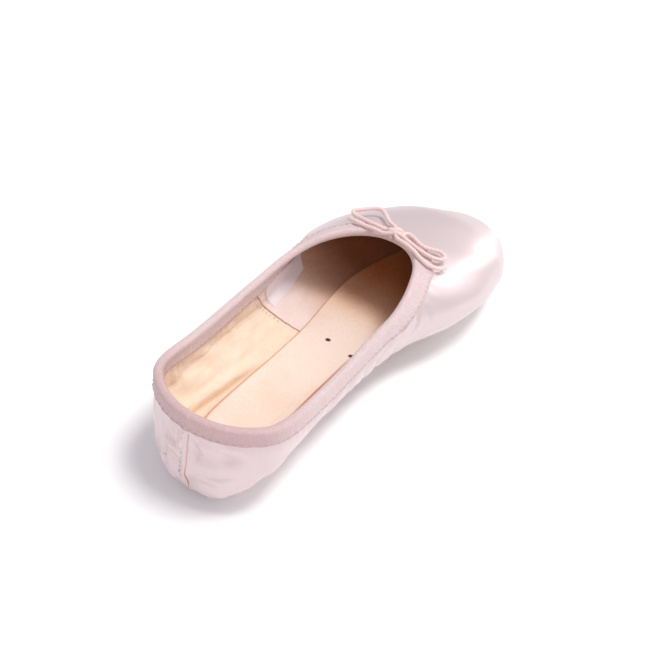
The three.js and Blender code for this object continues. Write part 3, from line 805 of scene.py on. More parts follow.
def blended(low, high, t, first, second):
    """The mix of two points that is the first at t = low and the second at t = high."""
    return (high - t) / (high - low) * first + (t - low) / (high - low) * second


def rounded_path(points, spacing):
    """Points a fixed distance apart on a centripetal Catmull-Rom curve through the given ones."""
    points = np.array(points, dtype=float)
    ends = np.vstack([2 * points[0] - points[1], points, 2 * points[-1] - points[-2]])
    dense = []
    for i in range(1, len(ends) - 2):
        a, b, c, d = ends[i - 1 : i + 3]
        knots = np.cumsum([0] + [np.linalg.norm(q - p) ** 0.5 + 1e-6 for p, q in ((a, b), (b, c), (c, d))])
        t = np.linspace(knots[1], knots[2], PATH_SAMPLES, endpoint=False)[:, None]
        ab = blended(knots[0], knots[1], t, a, b)
        bc = blended(knots[1], knots[2], t, b, c)
        cd = blended(knots[2], knots[3], t, c, d)
        abc = blended(knots[0], knots[2], t, ab, bc)
        bcd = blended(knots[1], knots[3], t, bc, cd)
        dense.append(blended(knots[1], knots[2], t, abc, bcd))
    dense = np.vstack(dense + [points[-1:]])
    run = np.concatenate([[0], np.cumsum(np.linalg.norm(np.diff(dense, axis=0), axis=1))])
    count = max(int(run[-1] / spacing), 2) + 1
    wanted = np.linspace(0, run[-1], count)
    return np.stack([np.interp(wanted, run, dense[:, k]) for k in range(3)], axis=1)


STRAND_PITCH = 6.0
STRAND_DEPTH = 0.1


def tube_grid(path, radius, sides, strands=0):
    """A tube of radius * (1 + depth * cos(strands * (turn - run / pitch))), thinner at its ends."""
    side, other = frames_along(path)[1:]
    run = np.concatenate([[0], np.cumsum(np.linalg.norm(np.diff(path, axis=0), axis=1))])
    turn = np.linspace(0, 2 * np.pi, sides, endpoint=False)[None, :]
    ends = np.minimum(run, run[-1] - run)
    taper = np.sqrt(np.clip(ends / (0.7 * radius), 0.02, 1))[:, None]
    twist = strands * turn - strands * 2 * np.pi * run[:, None] / STRAND_PITCH
    lobes = 1 + (STRAND_DEPTH * np.cos(twist) if strands else 0)
    reach = radius * taper * lobes
    ring = np.cos(turn)[..., None] * side[:, None] + np.sin(turn)[..., None] * other[:, None]
    return path[:, None] + reach[..., None] * ring


# %% [markdown]
# ## Building materials from nodes
# A photo of cloth could be wrapped on, but it would bring its own light. Here colour, roughness and relief
# all come from noise on object coordinates or on the UV map. Numbers that are the same all over a surface
# sit on the shader itself, and short helpers keep each material to a few lines.

# %% Helpers for nodes
def srgb(red, green, blue):
    """A colour given from 0 to 255, as the linear values that a shader takes."""
    values = np.array([red, green, blue]) / 255
    linear = np.where(values <= 0.04045, values / 12.92, ((values + 0.055) / 1.055) ** 2.4)
    return (*linear.tolist(), 1.0)


def start_material(name, **constants):
    """A new material with its node tree and shader, and constants set on the shader's inputs."""
    material = bpy.data.materials.new(name)
    material.use_nodes = True
    tree = material.node_tree
    shader = tree.nodes["Principled BSDF"]
    for key, value in constants.items():
        shader.inputs[key.replace("_", " ")].default_value = value
    return material, tree, shader


def wire(tree, kind, inputs=None, **settings):
    """A new node whose inputs are linked to sockets or set to plain values."""
    node = tree.nodes.new(kind)
    for key, value in settings.items():
        setattr(node, key, value)
    for key, value in (inputs or {}).items():
        if isinstance(value, bpy.types.NodeSocket):
            tree.links.new(value, node.inputs[key])
        else:
            node.inputs[key].default_value = value
    return node


def math_node(tree, operation, *values):
    """The result of one sum, product or the like on values or sockets."""
    node = wire(tree, "ShaderNodeMath", dict(enumerate(values)), operation=operation)
    return node.outputs[0]


def step_node(tree, value, low, high):
    """0 at low and 1 at high, with a smooth step between them."""
    node = wire(tree, "ShaderNodeMapRange", {"Value": value, "From Min": low, "From Max": high},
                interpolation_type="SMOOTHSTEP")
    return node.outputs["Result"]


def blend_node(tree, share, first, second):
    """The first colour where the share is 0, and the second where it is 1."""
    node = wire(tree, "ShaderNodeMix", data_type="RGBA")
    for index, value in ((0, share), (6, first), (7, second)):
        if isinstance(value, bpy.types.NodeSocket):
            tree.links.new(value, node.inputs[index])
        else:
            node.inputs[index].default_value = value
    return node.outputs[2]


def tinted(tree, colour, share, amount, tint):
    """A colour with some of a tint, by a share between 0 and 1 times an amount."""
    return blend_node(tree, math_node(tree, "MULTIPLY", share, amount), colour, srgb(*tint))


def places(tree):
    """Object coordinates in millimetres: the vector, and its x, y and z."""
    spot = wire(tree, "ShaderNodeTexCoord").outputs["Object"]
    scaled = wire(tree, "ShaderNodeVectorMath", {0: spot, 3: 1000.0}, operation="SCALE")
    split = wire(tree, "ShaderNodeSeparateXYZ", {0: scaled.outputs[0]})
    return scaled.outputs[0], split.outputs[0], split.outputs[1], split.outputs[2]


def noise(tree, vector, scale, stretch=(1, 1, 1), detail=2.0):
    """Noise whose features are about 1/scale long, stretched by the mapping."""
    mapping = wire(tree, "ShaderNodeMapping", {"Vector": vector, "Scale": stretch})
    node = wire(tree, "ShaderNodeTexNoise", {"Vector": mapping.outputs[0], "Scale": scale, "Detail": detail})
    return node.outputs["Fac"]


def threads(tree, along, cross, uv_map="UVMap"):
    """Two heights on a UV map: noise drawn out one way, and the same the other way."""
    uv = wire(tree, "ShaderNodeUVMap", uv_map=uv_map).outputs["UV"]
    first = noise(tree, uv, 1.0, (along, cross, 1))
    second = noise(tree, uv, 1.0, (cross, along, 1))
    return first, second


def woven(tree, along, cross, first_share=0.5, second_share=0.5):
    """Height of a weave: threads one way plus threads the other way, each by its share."""
    first, second = threads(tree, along, cross)
    first = math_node(tree, "MULTIPLY", first, first_share)
    return math_node(tree, "ADD", first, math_node(tree, "MULTIPLY", second, second_share))


def dress(tree, shader, colour, grain, low, high):
    """Links the colour, and a roughness that is 0 where the grain is low and 1 where it is high."""
    tree.links.new(colour, shader.inputs["Base Color"])
    tree.links.new(step_node(tree, grain, low, high), shader.inputs["Roughness"])


def add_bump(tree, shader, height, strength, distance):
    """Relief that is seen only in the light. Distance is in metres."""
    bump = wire(tree, "ShaderNodeBump", {"Height": height, "Strength": strength, "Distance": distance})
    tree.links.new(bump.outputs[0], shader.inputs["Normal"])


print("white is", srgb(255, 255, 255))

# %% [markdown]
# ## Satin
# Satin shines because long warp threads lie side by side on its face. The shader's gloss is drawn out
# along the warp, with a thin coat and some sheen. Its base is a little metallic, since a plain cloth base
# would wash out the dark side of the highlight. The bottoms of creases are painted a darker pink as shade.

# %% Satin of the upper
satin, tree, shader = start_material(
    "satin", Sheen_Weight=0.2, Sheen_Roughness=0.35, Coat_Weight=0.08, Coat_Roughness=0.3,
    Anisotropic=0.5, Specular_IOR_Level=0.7, Metallic=0.3,
)
spot, x = places(tree)[:2]
long_threads = threads(tree, 40, 1100, "Grain")[0]
cloudy = noise(tree, spot, 0.035, detail=3)
heel_share = step_node(tree, x, 10, -90)
painted_crease_dark = wire(tree, "ShaderNodeAttribute", attribute_name="painted_crease_shade").outputs["Fac"]
colour = blend_node(tree, heel_share, srgb(226, 210, 210), srgb(228, 209, 210))
colour = tinted(tree, colour, cloudy, 0.3, (238, 220, 218))
colour = tinted(tree, colour, long_threads, 0.12, (213, 182, 185))
# Painted shade in the bottoms of the creases, from the value kept on the mesh
colour = tinted(tree, colour, painted_crease_dark, 0.8, (206, 168, 172))
dress(tree, shader, colour, long_threads, -0.85, 2.4)
tangent = wire(tree, "ShaderNodeTangent", direction_type="UV_MAP", uv_map="Grain")
tree.links.new(tangent.outputs[0], shader.inputs["Tangent"])
heel_crumple = math_node(tree, "MULTIPLY", heel_share, noise(tree, spot, 0.3, detail=4))
slow = math_node(tree, "ADD", noise(tree, spot, 0.09, detail=3), heel_crumple)
height = math_node(tree, "ADD", math_node(tree, "MULTIPLY", long_threads, 0.07), slow)
add_bump(tree, shader, height, 0.4, 0.0006)
print("satin nodes", len(tree.nodes))

# %% [markdown]
# ## Lining
# The lining is cotton: warm cream at the heel, and a paler cloth ahead of a slanting seam whose raw edge
# is brown. One material draws both, split by a line in x and z, because the two cloths are one skin here.
# Towards the box less daylight comes in, and what there is comes off tan cloth, so the colour deepens.

# %% Cotton of the lining
SEAM_SLANT = -0.7
SEAM_FOOT = -2.4

canvas, tree, shader = start_material("lining", Sheen_Weight=0.2, Specular_IOR_Level=0.25)
spot, x, _, z = places(tree)
seam_at = math_node(tree, "ADD", math_node(tree, "MULTIPLY", z, SEAM_SLANT), SEAM_FOOT)
wander = math_node(tree, "MULTIPLY", math_node(tree, "SUBTRACT", noise(tree, spot, 0.25), 0.5), 1.4)
from_seam = math_node(tree, "ADD", math_node(tree, "SUBTRACT", x, seam_at), wander)
is_front = step_node(tree, from_seam, -0.15, 0.15)
off_edge = step_node(tree, math_node(tree, "ABSOLUTE", from_seam), 0.25, 0.75)
weave = woven(tree, 60, 480)
# Painted shade of small wrinkles at the heel: darker blotches from noise
painted_wrinkle_shade = step_node(tree, noise(tree, spot, 0.22, detail=4), 0.4, 0.62)
yellow_fold_shade = wire(tree, "ShaderNodeAttribute", attribute_name="painted_crease_shade").outputs["Fac"]
heel_cloth = blend_node(tree, weave, srgb(250, 222, 194), srgb(255, 240, 224))
heel_cloth = tinted(tree, heel_cloth, painted_wrinkle_shade, 0.14, (240, 200, 152))
# Painted shade, in yellow, beside the long fold and in the troughs of the wrinkles
heel_cloth = tinted(tree, heel_cloth, yellow_fold_shade, 0.7, (236, 180, 124))
front_cloth = blend_node(tree, weave, srgb(246, 222, 214), srgb(254, 238, 232))
colour = blend_node(tree, is_front, heel_cloth, front_cloth)
colour = tinted(tree, colour, math_node(tree, "SUBTRACT", 1.0, off_edge), 0.75, (168, 100, 62))
colour = tinted(tree, colour, step_node(tree, x, -2, 36), 0.7, (238, 190, 152))
colour = blend_node(tree, step_node(tree, x, 6, 62), colour, srgb(150, 86, 48))
dress(tree, shader, colour, weave, -2.0, 1.2)
crumple = math_node(tree, "MULTIPLY", noise(tree, spot, 0.2, (0.35, 1, 1), detail=5), 5.0)
front_step = math_node(tree, "MULTIPLY", is_front, 0.8)
height = math_node(tree, "ADD", math_node(tree, "ADD", weave, crumple), front_step)
add_bump(tree, shader, height, 0.6, 0.0005)
print("lining nodes", len(tree.nodes))

# %% [markdown]
# ## The upper
# One closed shell: the satin outside, the lining inside, joined at the collar and under the foot. Two
# loose skins would let light through their edges. The inner faces take the lining as a second material.

# %% The shell of satin and lining
shell = np.concatenate([skin, lining[:, ::-1]], axis=1)
upper_mesh = grid_mesh("satin_upper", shell, around=True, rows_closed=True)
link("satin_upper", upper_mesh, satin, ["upper"])
upper_mesh.materials.append(canvas)
# The value holds the painted shade of the creases outside and the yellow painted shade of the folds inside
crease_shade_values = np.concatenate([crease_shade, painted_crease_shade[:, ::-1]], axis=1).astype(np.float32)
upper_mesh.attributes.new("painted_crease_shade", "FLOAT", "POINT").data.foreach_set("value", crease_shade_values.ravel())
rows = shell.shape[1]
row_of_face = np.tile(np.arange(rows), RIBS)
is_inner = (row_of_face >= skin.shape[1] - 1) & (row_of_face < rows)
upper_mesh.polygons.foreach_set("material_index", is_inner.astype(np.int32))
print("upper faces", len(upper_mesh.polygons))

# %% [markdown]
# ## The way of the threads
# The satin's warp runs round the heel and along the sides, and straight over the box. The first UV map
# follows the ribs, which meet in fans at toe and heel, so a second map is worked out for the threads: the
# way round the rim and the length down the rib, blended into x and the turn round the box.

# %% A second UV map along the warp
GIRTH = 40.0
RIM_TURN = 0.7
bases = np.concatenate([outer_points, (inner_bases - inner_normals)[:, ::-1]], axis=1)
round_shoe = np.concatenate([[0], np.cumsum(np.linalg.norm(np.diff(rim_points, axis=0), axis=1))])
from_heel = np.minimum(round_shoe, round_shoe[-1] - round_shoe)[:, None] + np.zeros(bases.shape[:2])
rib_steps = np.linalg.norm(np.diff(bases, axis=1), axis=2)
down_rib = np.concatenate([np.zeros((RIBS, 1)), np.cumsum(rib_steps, axis=1)], axis=1)
over_box = smooth(bases[..., 0], 0.28 * LENGTH, 0.62 * LENGTH)
girth_turn = np.arctan2(np.abs(bases[..., 1]), bases[..., 2] - 0.3 * BALL_LEVEL)
warp = from_heel * (1 - over_box) + bases[..., 0] * over_box
weft = (GIRTH * RIM_TURN + down_rib) * (1 - over_box) + GIRTH * girth_turn * over_box
grain_map = np.stack([warp, weft], axis=-1).reshape(-1, 2) / UV_UNIT
corner_vertex = np.zeros(len(upper_mesh.loops), dtype=np.int32)
upper_mesh.loops.foreach_get("vertex_index", corner_vertex)
grain_layer = upper_mesh.uv_layers.new(name="Grain")
grain_layer.data.foreach_set("uv", grain_map[corner_vertex].ravel())
print("warp round the heel", from_heel.max().round(1))

# %% [markdown]
# ## Binding tape
# The tape is a matt woven cotton with thick and thin threads, and round the heel it is painted darker as
# shade. The weave comes from drawn-out noise on the UV map, and a finer noise adds the slubs.

# %% Woven tape
tape, tree, shader = start_material(
    "binding_tape", Sheen_Weight=0.3, Sheen_Roughness=0.4, Specular_IOR_Level=0.35,
)
spot, x = places(tree)[:2]
slubs = step_node(tree, noise(tree, spot, 1.1, detail=3), 0.3, 0.7)
weave = math_node(tree, "ADD", woven(tree, 70, 620, 0.3, 0.4), math_node(tree, "MULTIPLY", slubs, 0.5))
# Painted shade: the tape is drawn darker round the heel
colour = blend_node(tree, step_node(tree, x, -66, -114), srgb(238, 219, 218), srgb(220, 190, 189))
colour = tinted(tree, colour, weave, 0.5, (203, 167, 167))
dress(tree, shader, colour, weave, -1.4, 1.3)
add_bump(tree, shader, weave, 0.8, 0.0004)
print("tape nodes", len(tree.nodes))

# %% [markdown]
# ## The binding
# The tape is folded over the collar and stitched through both sides. A ribbon with a Solidify modifier
# would be as thick everywhere. Here its outer and inner faces are worked out along each rib, so that the
# drawstring can bulge in the fold and the edges can pucker between stitches.

# %% Faces of the tape
LEG_ROWS = 9
HEEL_NARROWING = 0.2
TAPE_OUT = 0.85
TAPE_IN = 0.8
PUCKER = 0.13
BULGE = 0.25

at_heel = 1 - smooth(rim_points[:, :1], 0.04 * LENGTH, 0.25 * LENGTH)
tape_reach = binding_reach * (1 - HEEL_NARROWING * at_heel)
leg_angles = read_rows(arc, dense_angles, tape_reach * np.linspace(0, 1, LEG_ROWS))
leg_points = surface(leg_angles)
leg_normals = outward(leg_points)
leg_points = leg_points + leg_normals * seam_rise(leg_points)[..., None]
leg_wall = wall_at(leg_points)[:, :1]
down_share = np.linspace(0, 1, LEG_ROWS)[None, :]
pucker = PUCKER * np.sin(61 * run_share + 1.4 * np.sin(7 * run_share)) * down_share**2
pucker += 0.05 * np.sin(131 * run_share) * (down_share > 0.6)
bulge = BULGE * np.exp(-(((down_share - 0.16) / 0.16) ** 2))
outer_face = TAPE_OUT + pucker + bulge
inner_face = -(leg_wall + TAPE_IN + pucker + 0.7 * bulge)
top_up = leg_points[:, :1] - leg_points[:, 1:2]
top_up /= np.linalg.norm(top_up, axis=2, keepdims=True)
print("tape reaches down", tape_reach.min().round(1), tape_reach.max().round(1))


# %% The folded tape
def leg(distance):
    """Points of one face of the tape, at a distance outwards from the skin."""
    return leg_points + leg_normals * distance[..., None]


def over_the_top(outer, inner, rise, count):
    """A half oval over the collar: middle + half * cos along the normal, and rise * sin upwards."""
    turn = np.linspace(0, np.pi, count + 2)[1:-1][None, :, None]
    middle = 0.5 * (outer + inner)[..., None]
    half = 0.5 * (outer - inner)[..., None]
    outwards = leg_normals[:, :1] * (middle + half * np.cos(turn))
    return leg_points[:, :1] + outwards + top_up * rise * np.sin(turn)


HEM_GAP = 0.1
INSIDE_GAP = 0.12
FOLD_RISE = 1.1
INNER_RISE = 0.4

hem = np.full((RIBS, 1), HEM_GAP)
inside_face = leg_wall + INSIDE_GAP
full = 0 * outer_face
first_hem = 0.5 * (leg(hem + full)[:, -1:] + leg(outer_face)[:, -1:])
binding_grid = np.concatenate([
    first_hem,
    leg(outer_face)[:, ::-1],
    over_the_top(outer_face[:, :1], inner_face[:, :1], FOLD_RISE, 9),
    leg(inner_face),
    leg(full - inside_face)[:, ::-1],
    over_the_top(hem, -inside_face, INNER_RISE, 5)[:, ::-1],
    leg(hem + full),
], axis=1)
binding_mesh = grid_mesh("collar_tape", to_shoe(binding_grid), around=True, rows_closed=True)
link("collar_tape", binding_mesh, tape, ["collar_binding"])
print("binding faces", len(binding_mesh.polygons))

# %% [markdown]
# ## Stitches
# A stitch is a short length of thread that comes up out of the cloth and goes down again. A texture would
# look flat from the side, so each stitch is a small bent bead, and a row of them is one mesh.

# %% A row of stitches
BEAD_RINGS = 6
BEAD_SIDES = 6


def stitch_row(name, path, normals, spacing, length, radius, material, slot, closed=False):
    """Beads of thread along a path, each one bedded in the cloth at both ends.

    A bead's middle line rises by radius * (0.7 - 1.2 * s^2), for s from -1 to 1 along it, and its
    thickness is radius * sqrt(1.05 - s^2).
    """
    if closed:
        path = np.vstack([path, path[:1]])
        normals = np.vstack([normals, normals[:1]])
    run = np.concatenate([[0], np.cumsum(np.linalg.norm(np.diff(path, axis=0), axis=1))])
    count = int(run[-1] / spacing)
    middles = (np.arange(count) + 0.5) * run[-1] / count
    bead_share = np.linspace(-1, 1, BEAD_RINGS)
    wanted = middles[:, None] + 0.5 * length * bead_share[None, :]
    spine = np.stack([np.interp(wanted, run, path[:, k]) for k in range(3)], axis=-1)
    up_way = np.stack([np.interp(wanted, run, normals[:, k]) for k in range(3)], axis=-1)
    up_way /= np.linalg.norm(up_way, axis=-1, keepdims=True)
    along = spine[:, -1:] - spine[:, :1]
    along /= np.linalg.norm(along, axis=-1, keepdims=True)
    side = np.cross(along, up_way)
    spine = spine + up_way * (radius * (0.7 - 1.2 * bead_share**2))[None, :, None]
    turn = np.linspace(0, 2 * np.pi, BEAD_SIDES, endpoint=False)[None, None, :, None]
    thick = radius * np.sqrt(np.clip(1.05 - bead_share**2, 0, 1))
    ring = np.cos(turn) * side[:, :, None] + np.sin(turn) * up_way[:, :, None]
    points = (spine[:, :, None] + thick[None, :, None, None] * ring).reshape(-1, 3)
    start = np.arange(count)[:, None, None] * BEAD_RINGS * BEAD_SIDES
    here = start + np.arange(BEAD_RINGS - 1)[None, :, None] * BEAD_SIDES
    there = here + BEAD_SIDES
    j = np.arange(BEAD_SIDES)[None, None, :]
    j_next = (j + 1) % BEAD_SIDES
    quads = np.stack([here + j, here + j_next, there + j_next, there + j], axis=-1)
    mesh = bpy.data.meshes.new(name)
    mesh.from_pydata((points / 1000).tolist(), [], quads.reshape(-1, 4).tolist())
    print(name, count, "stitches")
    return link(name, mesh, material)


# %% [markdown]
# ## Thread
# The thread is a twisted ply, lighter and darker by turns. The turned edge of the back seam is tacked
# with rust-coloured thread that is paler towards the collar.

# %% Pink and rust-coloured thread
thread, tree, shader = start_material("thread", Sheen_Weight=0.3, Specular_IOR_Level=0.3)
ply = noise(tree, places(tree)[0], 3.0, detail=2)
dress(tree, shader, blend_node(tree, ply, srgb(186, 150, 152), srgb(222, 194, 194)), ply, -1.8, 1.4)
rust_thread, tree, shader = start_material("rust_thread", Sheen_Weight=0.3, Specular_IOR_Level=0.3)
spot, _, _, z = places(tree)
ply = noise(tree, spot, 1.2, detail=3)
rust = blend_node(tree, ply, srgb(204, 118, 88), srgb(232, 168, 146))
paler_rust = blend_node(tree, ply, srgb(226, 168, 152), srgb(238, 206, 200))
low_share = step_node(tree, z, 26, 15)
dress(tree, shader, blend_node(tree, low_share, paler_rust, rust), ply, -1.8, 1.4)
print("threads", thread.name, rust_thread.name)

# %% [markdown]
# ## Stitches of the binding
# One row runs round the tape near its lower edge, outside and inside. Both follow the same row of the
# tape's faces, so they cannot drift off it.

# %% Two rows round the collar
HEM_ROW = 7
# Spacing, length and radius of a stitch
HEM_STITCH = (3.0, 2.1, 0.17)

hem_normals = leg_normals[:, HEM_ROW]
outer_hem = to_shoe(leg(outer_face)[:, HEM_ROW])
inner_hem = to_shoe(leg(inner_face)[:, HEM_ROW])
stitch_row("binding_stitches", outer_hem, hem_normals, *HEM_STITCH, thread, "tape", closed=True)
stitch_row("binding_stitches_inside", inner_hem, -hem_normals, *HEM_STITCH, thread, "tape", closed=True)

# %% [markdown]
# ## The back seam
# Where the upper's two ends meet, a row of small stitches runs down the heel, and beside it the turned
# edge shows as a thin rust-coloured line that wanders a little near the sole. Both follow the first rib.

# %% Path of the back seam
SEAM_TOP = 38.5
SEAM_LOW = 5.5
SEAM_STITCH = (2.4, 1.6, 0.16)
STITCH_SIDE = 1.7
STITCH_LIFT = -0.28
EDGE_SIDE = -1.15
EDGE_LIFT = -0.12
EDGE_RADIUS = 0.19

back = skin[0]
seam_rows = (back[:, 2] < SEAM_TOP) & (back[:, 2] > SEAM_LOW) & (back[:, 0] < -100)
seam_path = back[seam_rows]
seam_normals = outer_normals[0][seam_rows]
seam_wander = 0.7 * np.sin(seam_path[:, 2] / 2.3) * smooth(-seam_path[:, 2], -24, -12)


def beside_seam(offset, lift):
    """The seam's path moved to the wearer's left by an offset, and out of the cloth by a lift."""
    return seam_path + np.array([0, 1.0, 0]) * (offset + seam_wander)[:, None] + seam_normals * lift


stitch_path = beside_seam(STITCH_SIDE, STITCH_LIFT)
stitch_row("back_seam_stitches", stitch_path, seam_normals, *SEAM_STITCH, thread, "satin")
seam_edge = rounded_path(beside_seam(EDGE_SIDE, EDGE_LIFT), 0.4)
edge_mesh = grid_mesh("back_seam_edge", tube_grid(seam_edge, EDGE_RADIUS, 8), rows_closed=True)
link("back_seam_edge", edge_mesh, rust_thread)

# %% [markdown]
# ## Stitches of the lining
# The two cotton cloths of the lining meet in a slanting seam on each side, held by two rows of stitches.
# Their places are known from the side only, so the wall's width is found there by halving.

# %% Rows beside the lining's seam
def wall_inside(x, z, side, lift):
    """A place on the lining, from its place seen from the side, on the left (1) or right (-1) wall."""
    zero = np.zeros_like(x)
    width = first_true(zero, zero + BALL_WIDTH, lambda t: form_value(x, t, z) > 0)
    points = np.stack([x, side * width, z], axis=-1)
    normals = outward(points)
    return to_shoe(points - normals * (wall_at(points) + lift)[..., None]), -normals


LINING_STITCH = (2.2, 1.4, 0.13)
BEHIND_SEAM = (1.6, 3.2)

seam_z = np.linspace(29, 9.5, 40)
for side, name in ((1, "left"), (-1, "right")):
    for column, behind in enumerate(BEHIND_SEAM):
        seam_x = SEAM_FOOT + SEAM_SLANT * seam_z - behind - SHIFT
        path, ways = wall_inside(seam_x, seam_z, side, 0.02)
        row_name = f"lining_stitches_{name}_{column + 1}"
        stitch_row(row_name, path, ways, *LINING_STITCH, thread, "satin")

# %% [markdown]
# ## The label
# A small blank label of woven cloth is sewn inside the left wall. It is a sheet between four corners, a
# little off the lining, with its rear edge bent in.

# %% A blank label
label_x, label_z = np.meshgrid(np.linspace(0, 1, 40), np.linspace(0, 1, 24), indexing="ij")
# Corners of the blank label in place along the shoe and height: rear top, front top, front low, rear low
LABEL = np.array([(-14.5, 31.0), (26.0, 26.0), (23.0, 16.0), (-9.5, 14.0)])
label_side = (
    LABEL[0] * ((1 - label_x) * label_z)[..., None] + LABEL[1] * (label_x * label_z)[..., None]
    + LABEL[2] * (label_x * (1 - label_z))[..., None] + LABEL[3] * ((1 - label_x) * (1 - label_z))[..., None]
)
label_side[..., 0] += 1.4 * ((2 * label_z - 1) ** 2 - 1) * (1 - label_x)
edge_gap = np.minimum(np.minimum(label_x, 1 - label_x) * 3, np.minimum(label_z, 1 - label_z))
label_lift = 0.3 + 0.15 * smooth(edge_gap, 0.0, 0.1) + 0.08 * np.sin(7 * label_x + 3 * label_z)
label_points = wall_inside(label_side[..., 0] - SHIFT, label_side[..., 1], 1, label_lift)[0]
label_cloth, tree, shader = start_material("label_cloth", Sheen_Weight=0.2, Specular_IOR_Level=0.4)
weave = woven(tree, 90, 900)
dress(tree, shader, blend_node(tree, weave, srgb(236, 222, 230), srgb(255, 248, 252)), weave, -1.2, 1.3)
add_bump(tree, shader, weave, 0.4, 0.0002)
link("blank_label", grid_mesh("blank_label", label_points), label_cloth)
print("label height", np.ptp(label_points[..., 2]).round(1))

# %% [markdown]
# ## The shape of a sole
# The insole and the outsole are sheets that follow the foot's underside, which curves both ways. A flat
# outline pushed up would have long thin faces, so each sheet is made of rings from its outline inwards,
# close together at the edge, and then of lines to its spine.

# %% Rings of a sheet
EDGE_INSETS = [0, 0.12, 0.35, 0.7, 1.2]
SPOKES = 14


def underside_points(x, y):
    """Places on the form's underside below points of the plan, found by halving upwards."""
    low = -widest_level(x)
    z = first_true(low, widest_level(x), lambda s: form_value(x, y, s) < 0)
    return np.stack([x, y, z], axis=-1)


OUTLINE_SAMPLES = 1200
OUTLINE_POINTS = 150


def plan_rings(rows, width_at):
    """The outline in plan, rings set in from it, and then rings on shares of the way to the spine."""
    start, end = rows[0, 0] * LENGTH, rows[-1, 0] * LENGTH
    half = plan_half(rows, width_at, 0)
    t = np.linspace(0, 1, OUTLINE_SAMPLES)
    x = start + (end - start) * (0.5 - 0.5 * np.cos(np.pi * t))
    line = np.stack([x, half(x)], axis=1)
    run = np.concatenate([[0], np.cumsum(np.linalg.norm(np.diff(line, axis=0), axis=1))])
    wanted = np.linspace(0, run[-1], OUTLINE_POINTS + 1)
    left = np.stack([np.interp(wanted, run, line[:, k]) for k in range(2)], axis=1)
    outline = np.concatenate([left, left[-2:0:-1] * [1, -1]])
    way = np.roll(outline, -1, axis=0) - np.roll(outline, 1, axis=0)
    way /= np.linalg.norm(way, axis=1, keepdims=True)
    inwards = np.stack([way[:, 1], -way[:, 0]], axis=1)
    rings = [outline + inwards * inset for inset in EDGE_INSETS]
    margin = width_at(0.5 * (start + end))
    spine_x = np.clip(outline[:, 0], start + margin, end - margin)
    spine = np.stack([spine_x, 0 * spine_x], axis=1)
    for share in np.linspace(0, 1, SPOKES + 1)[1:]:
        rings.append(rings[len(EDGE_INSETS) - 1] * (1 - share) + spine * share)
    return np.stack(rings, axis=1)


# %% [markdown]
# ## The insole's shape
# The insole is a felted board that lies on the turned-in cloth. Its top edge is worn round, and it is
# never quite flat.

# %% Top and bottom of the insole
insole_plan = plan_rings(INSOLE, insole_half)
insole_plan[..., 1] += insole_aside(insole_plan[..., 0])
insole_places = underside_points(insole_plan[..., 0], insole_plan[..., 1])
insole_slope = np.abs(outward(insole_places)[..., 2])
insole_bottom = insole_places[..., 2] + (wall_at(insole_places) + SHEET_CLEARANCE) / insole_slope
edge_height = np.array([0.45, 0.8, 0.94, 0.99, 1.0] + [1.0] * SPOKES)
insole_top = insole_bottom + INSOLE_THICKNESS * edge_height
insole_shoe = to_shoe(np.stack([insole_plan[..., 0], insole_plan[..., 1], insole_top], axis=-1))
top_sheet = insole_shoe.copy()
top_sheet[..., 2] += 0.1 * np.sin(insole_shoe[..., 0] / 11 + 1) * np.sin(insole_shoe[..., 1] / 8)
bottom_sheet = insole_shoe.copy()
bottom_sheet[..., 2] = insole_bottom
insole_grid = np.concatenate([top_sheet[:, ::-1], bottom_sheet], axis=1)
print("insole length", np.ptp(insole_grid[..., 0]).round(1))

# %% [markdown]
# ## Insole board
# The board is pale felted fibre with a few brown specks and two nail holes, which are not cut: each is a
# dark spot of painted shade in its colour. Its edge is darker, and so is the part towards the box, where
# little light comes in.

# %% Fibre, specks and nail holes
NAIL_HOLES = [(-6, 3), (-9, -11.5)]
HOLE_RADIUS = 0.8
HOLE_RIM = 1.7

board, tree, shader = start_material("insole_board", Sheen_Weight=0.15, Specular_IOR_Level=0.2)
spot, x = places(tree)[:2]
fibre = noise(tree, spot, 1.6, detail=4)
speck = step_node(tree, noise(tree, spot, 2.3, detail=1), 0.68, 0.8)
patch = step_node(tree, noise(tree, spot, 0.05, detail=3), 0.45, 0.75)
colour = blend_node(tree, fibre, srgb(244, 219, 201), srgb(252, 236, 224))
colour = tinted(tree, colour, speck, 0.5, (186, 132, 92))
colour = tinted(tree, colour, patch, 0.3, (238, 206, 178))
flat_spot = wire(tree, "ShaderNodeVectorMath", {0: spot, 1: (1, 1, 0)}, operation="MULTIPLY").outputs[0]
# Painted shade of the nail holes: a dark spot in the colour at each
for hole_x, hole_y in NAIL_HOLES:
    away = wire(tree, "ShaderNodeVectorMath", {0: flat_spot, 1: (hole_x, hole_y, 0)}, operation="DISTANCE")
    off_hole = step_node(tree, away.outputs["Value"], HOLE_RADIUS, HOLE_RIM)
    colour = blend_node(tree, math_node(tree, "SUBTRACT", 1.0, off_hole), colour, srgb(70, 38, 22))
rim_share = wire(tree, "ShaderNodeAttribute", attribute_name="rim").outputs["Fac"]
colour = tinted(tree, colour, step_node(tree, x, 4, 40), 0.7, (246, 198, 156))
colour = blend_node(tree, step_node(tree, x, 12, 68), colour, srgb(184, 106, 54))
colour = blend_node(tree, rim_share, colour, srgb(190, 116, 66))
dress(tree, shader, colour, fibre, -3.0, 1.4)
lumps = math_node(tree, "MULTIPLY", noise(tree, spot, 0.6, detail=4), 4.0)
add_bump(tree, shader, math_node(tree, "ADD", fibre, lumps), 0.5, 0.0003)
print("insole board nodes", len(tree.nodes))

# %% [markdown]
# ## The insole as a piece
# How dark the worn edge is could be drawn by the distance to it. Here it is a value at each point, which
# rises over the last rows of the top and stays full underneath.

# %% The insole's mesh and its edge
RIM_DARKNESS = [0.3, 0.75, 0.95, 1.0]

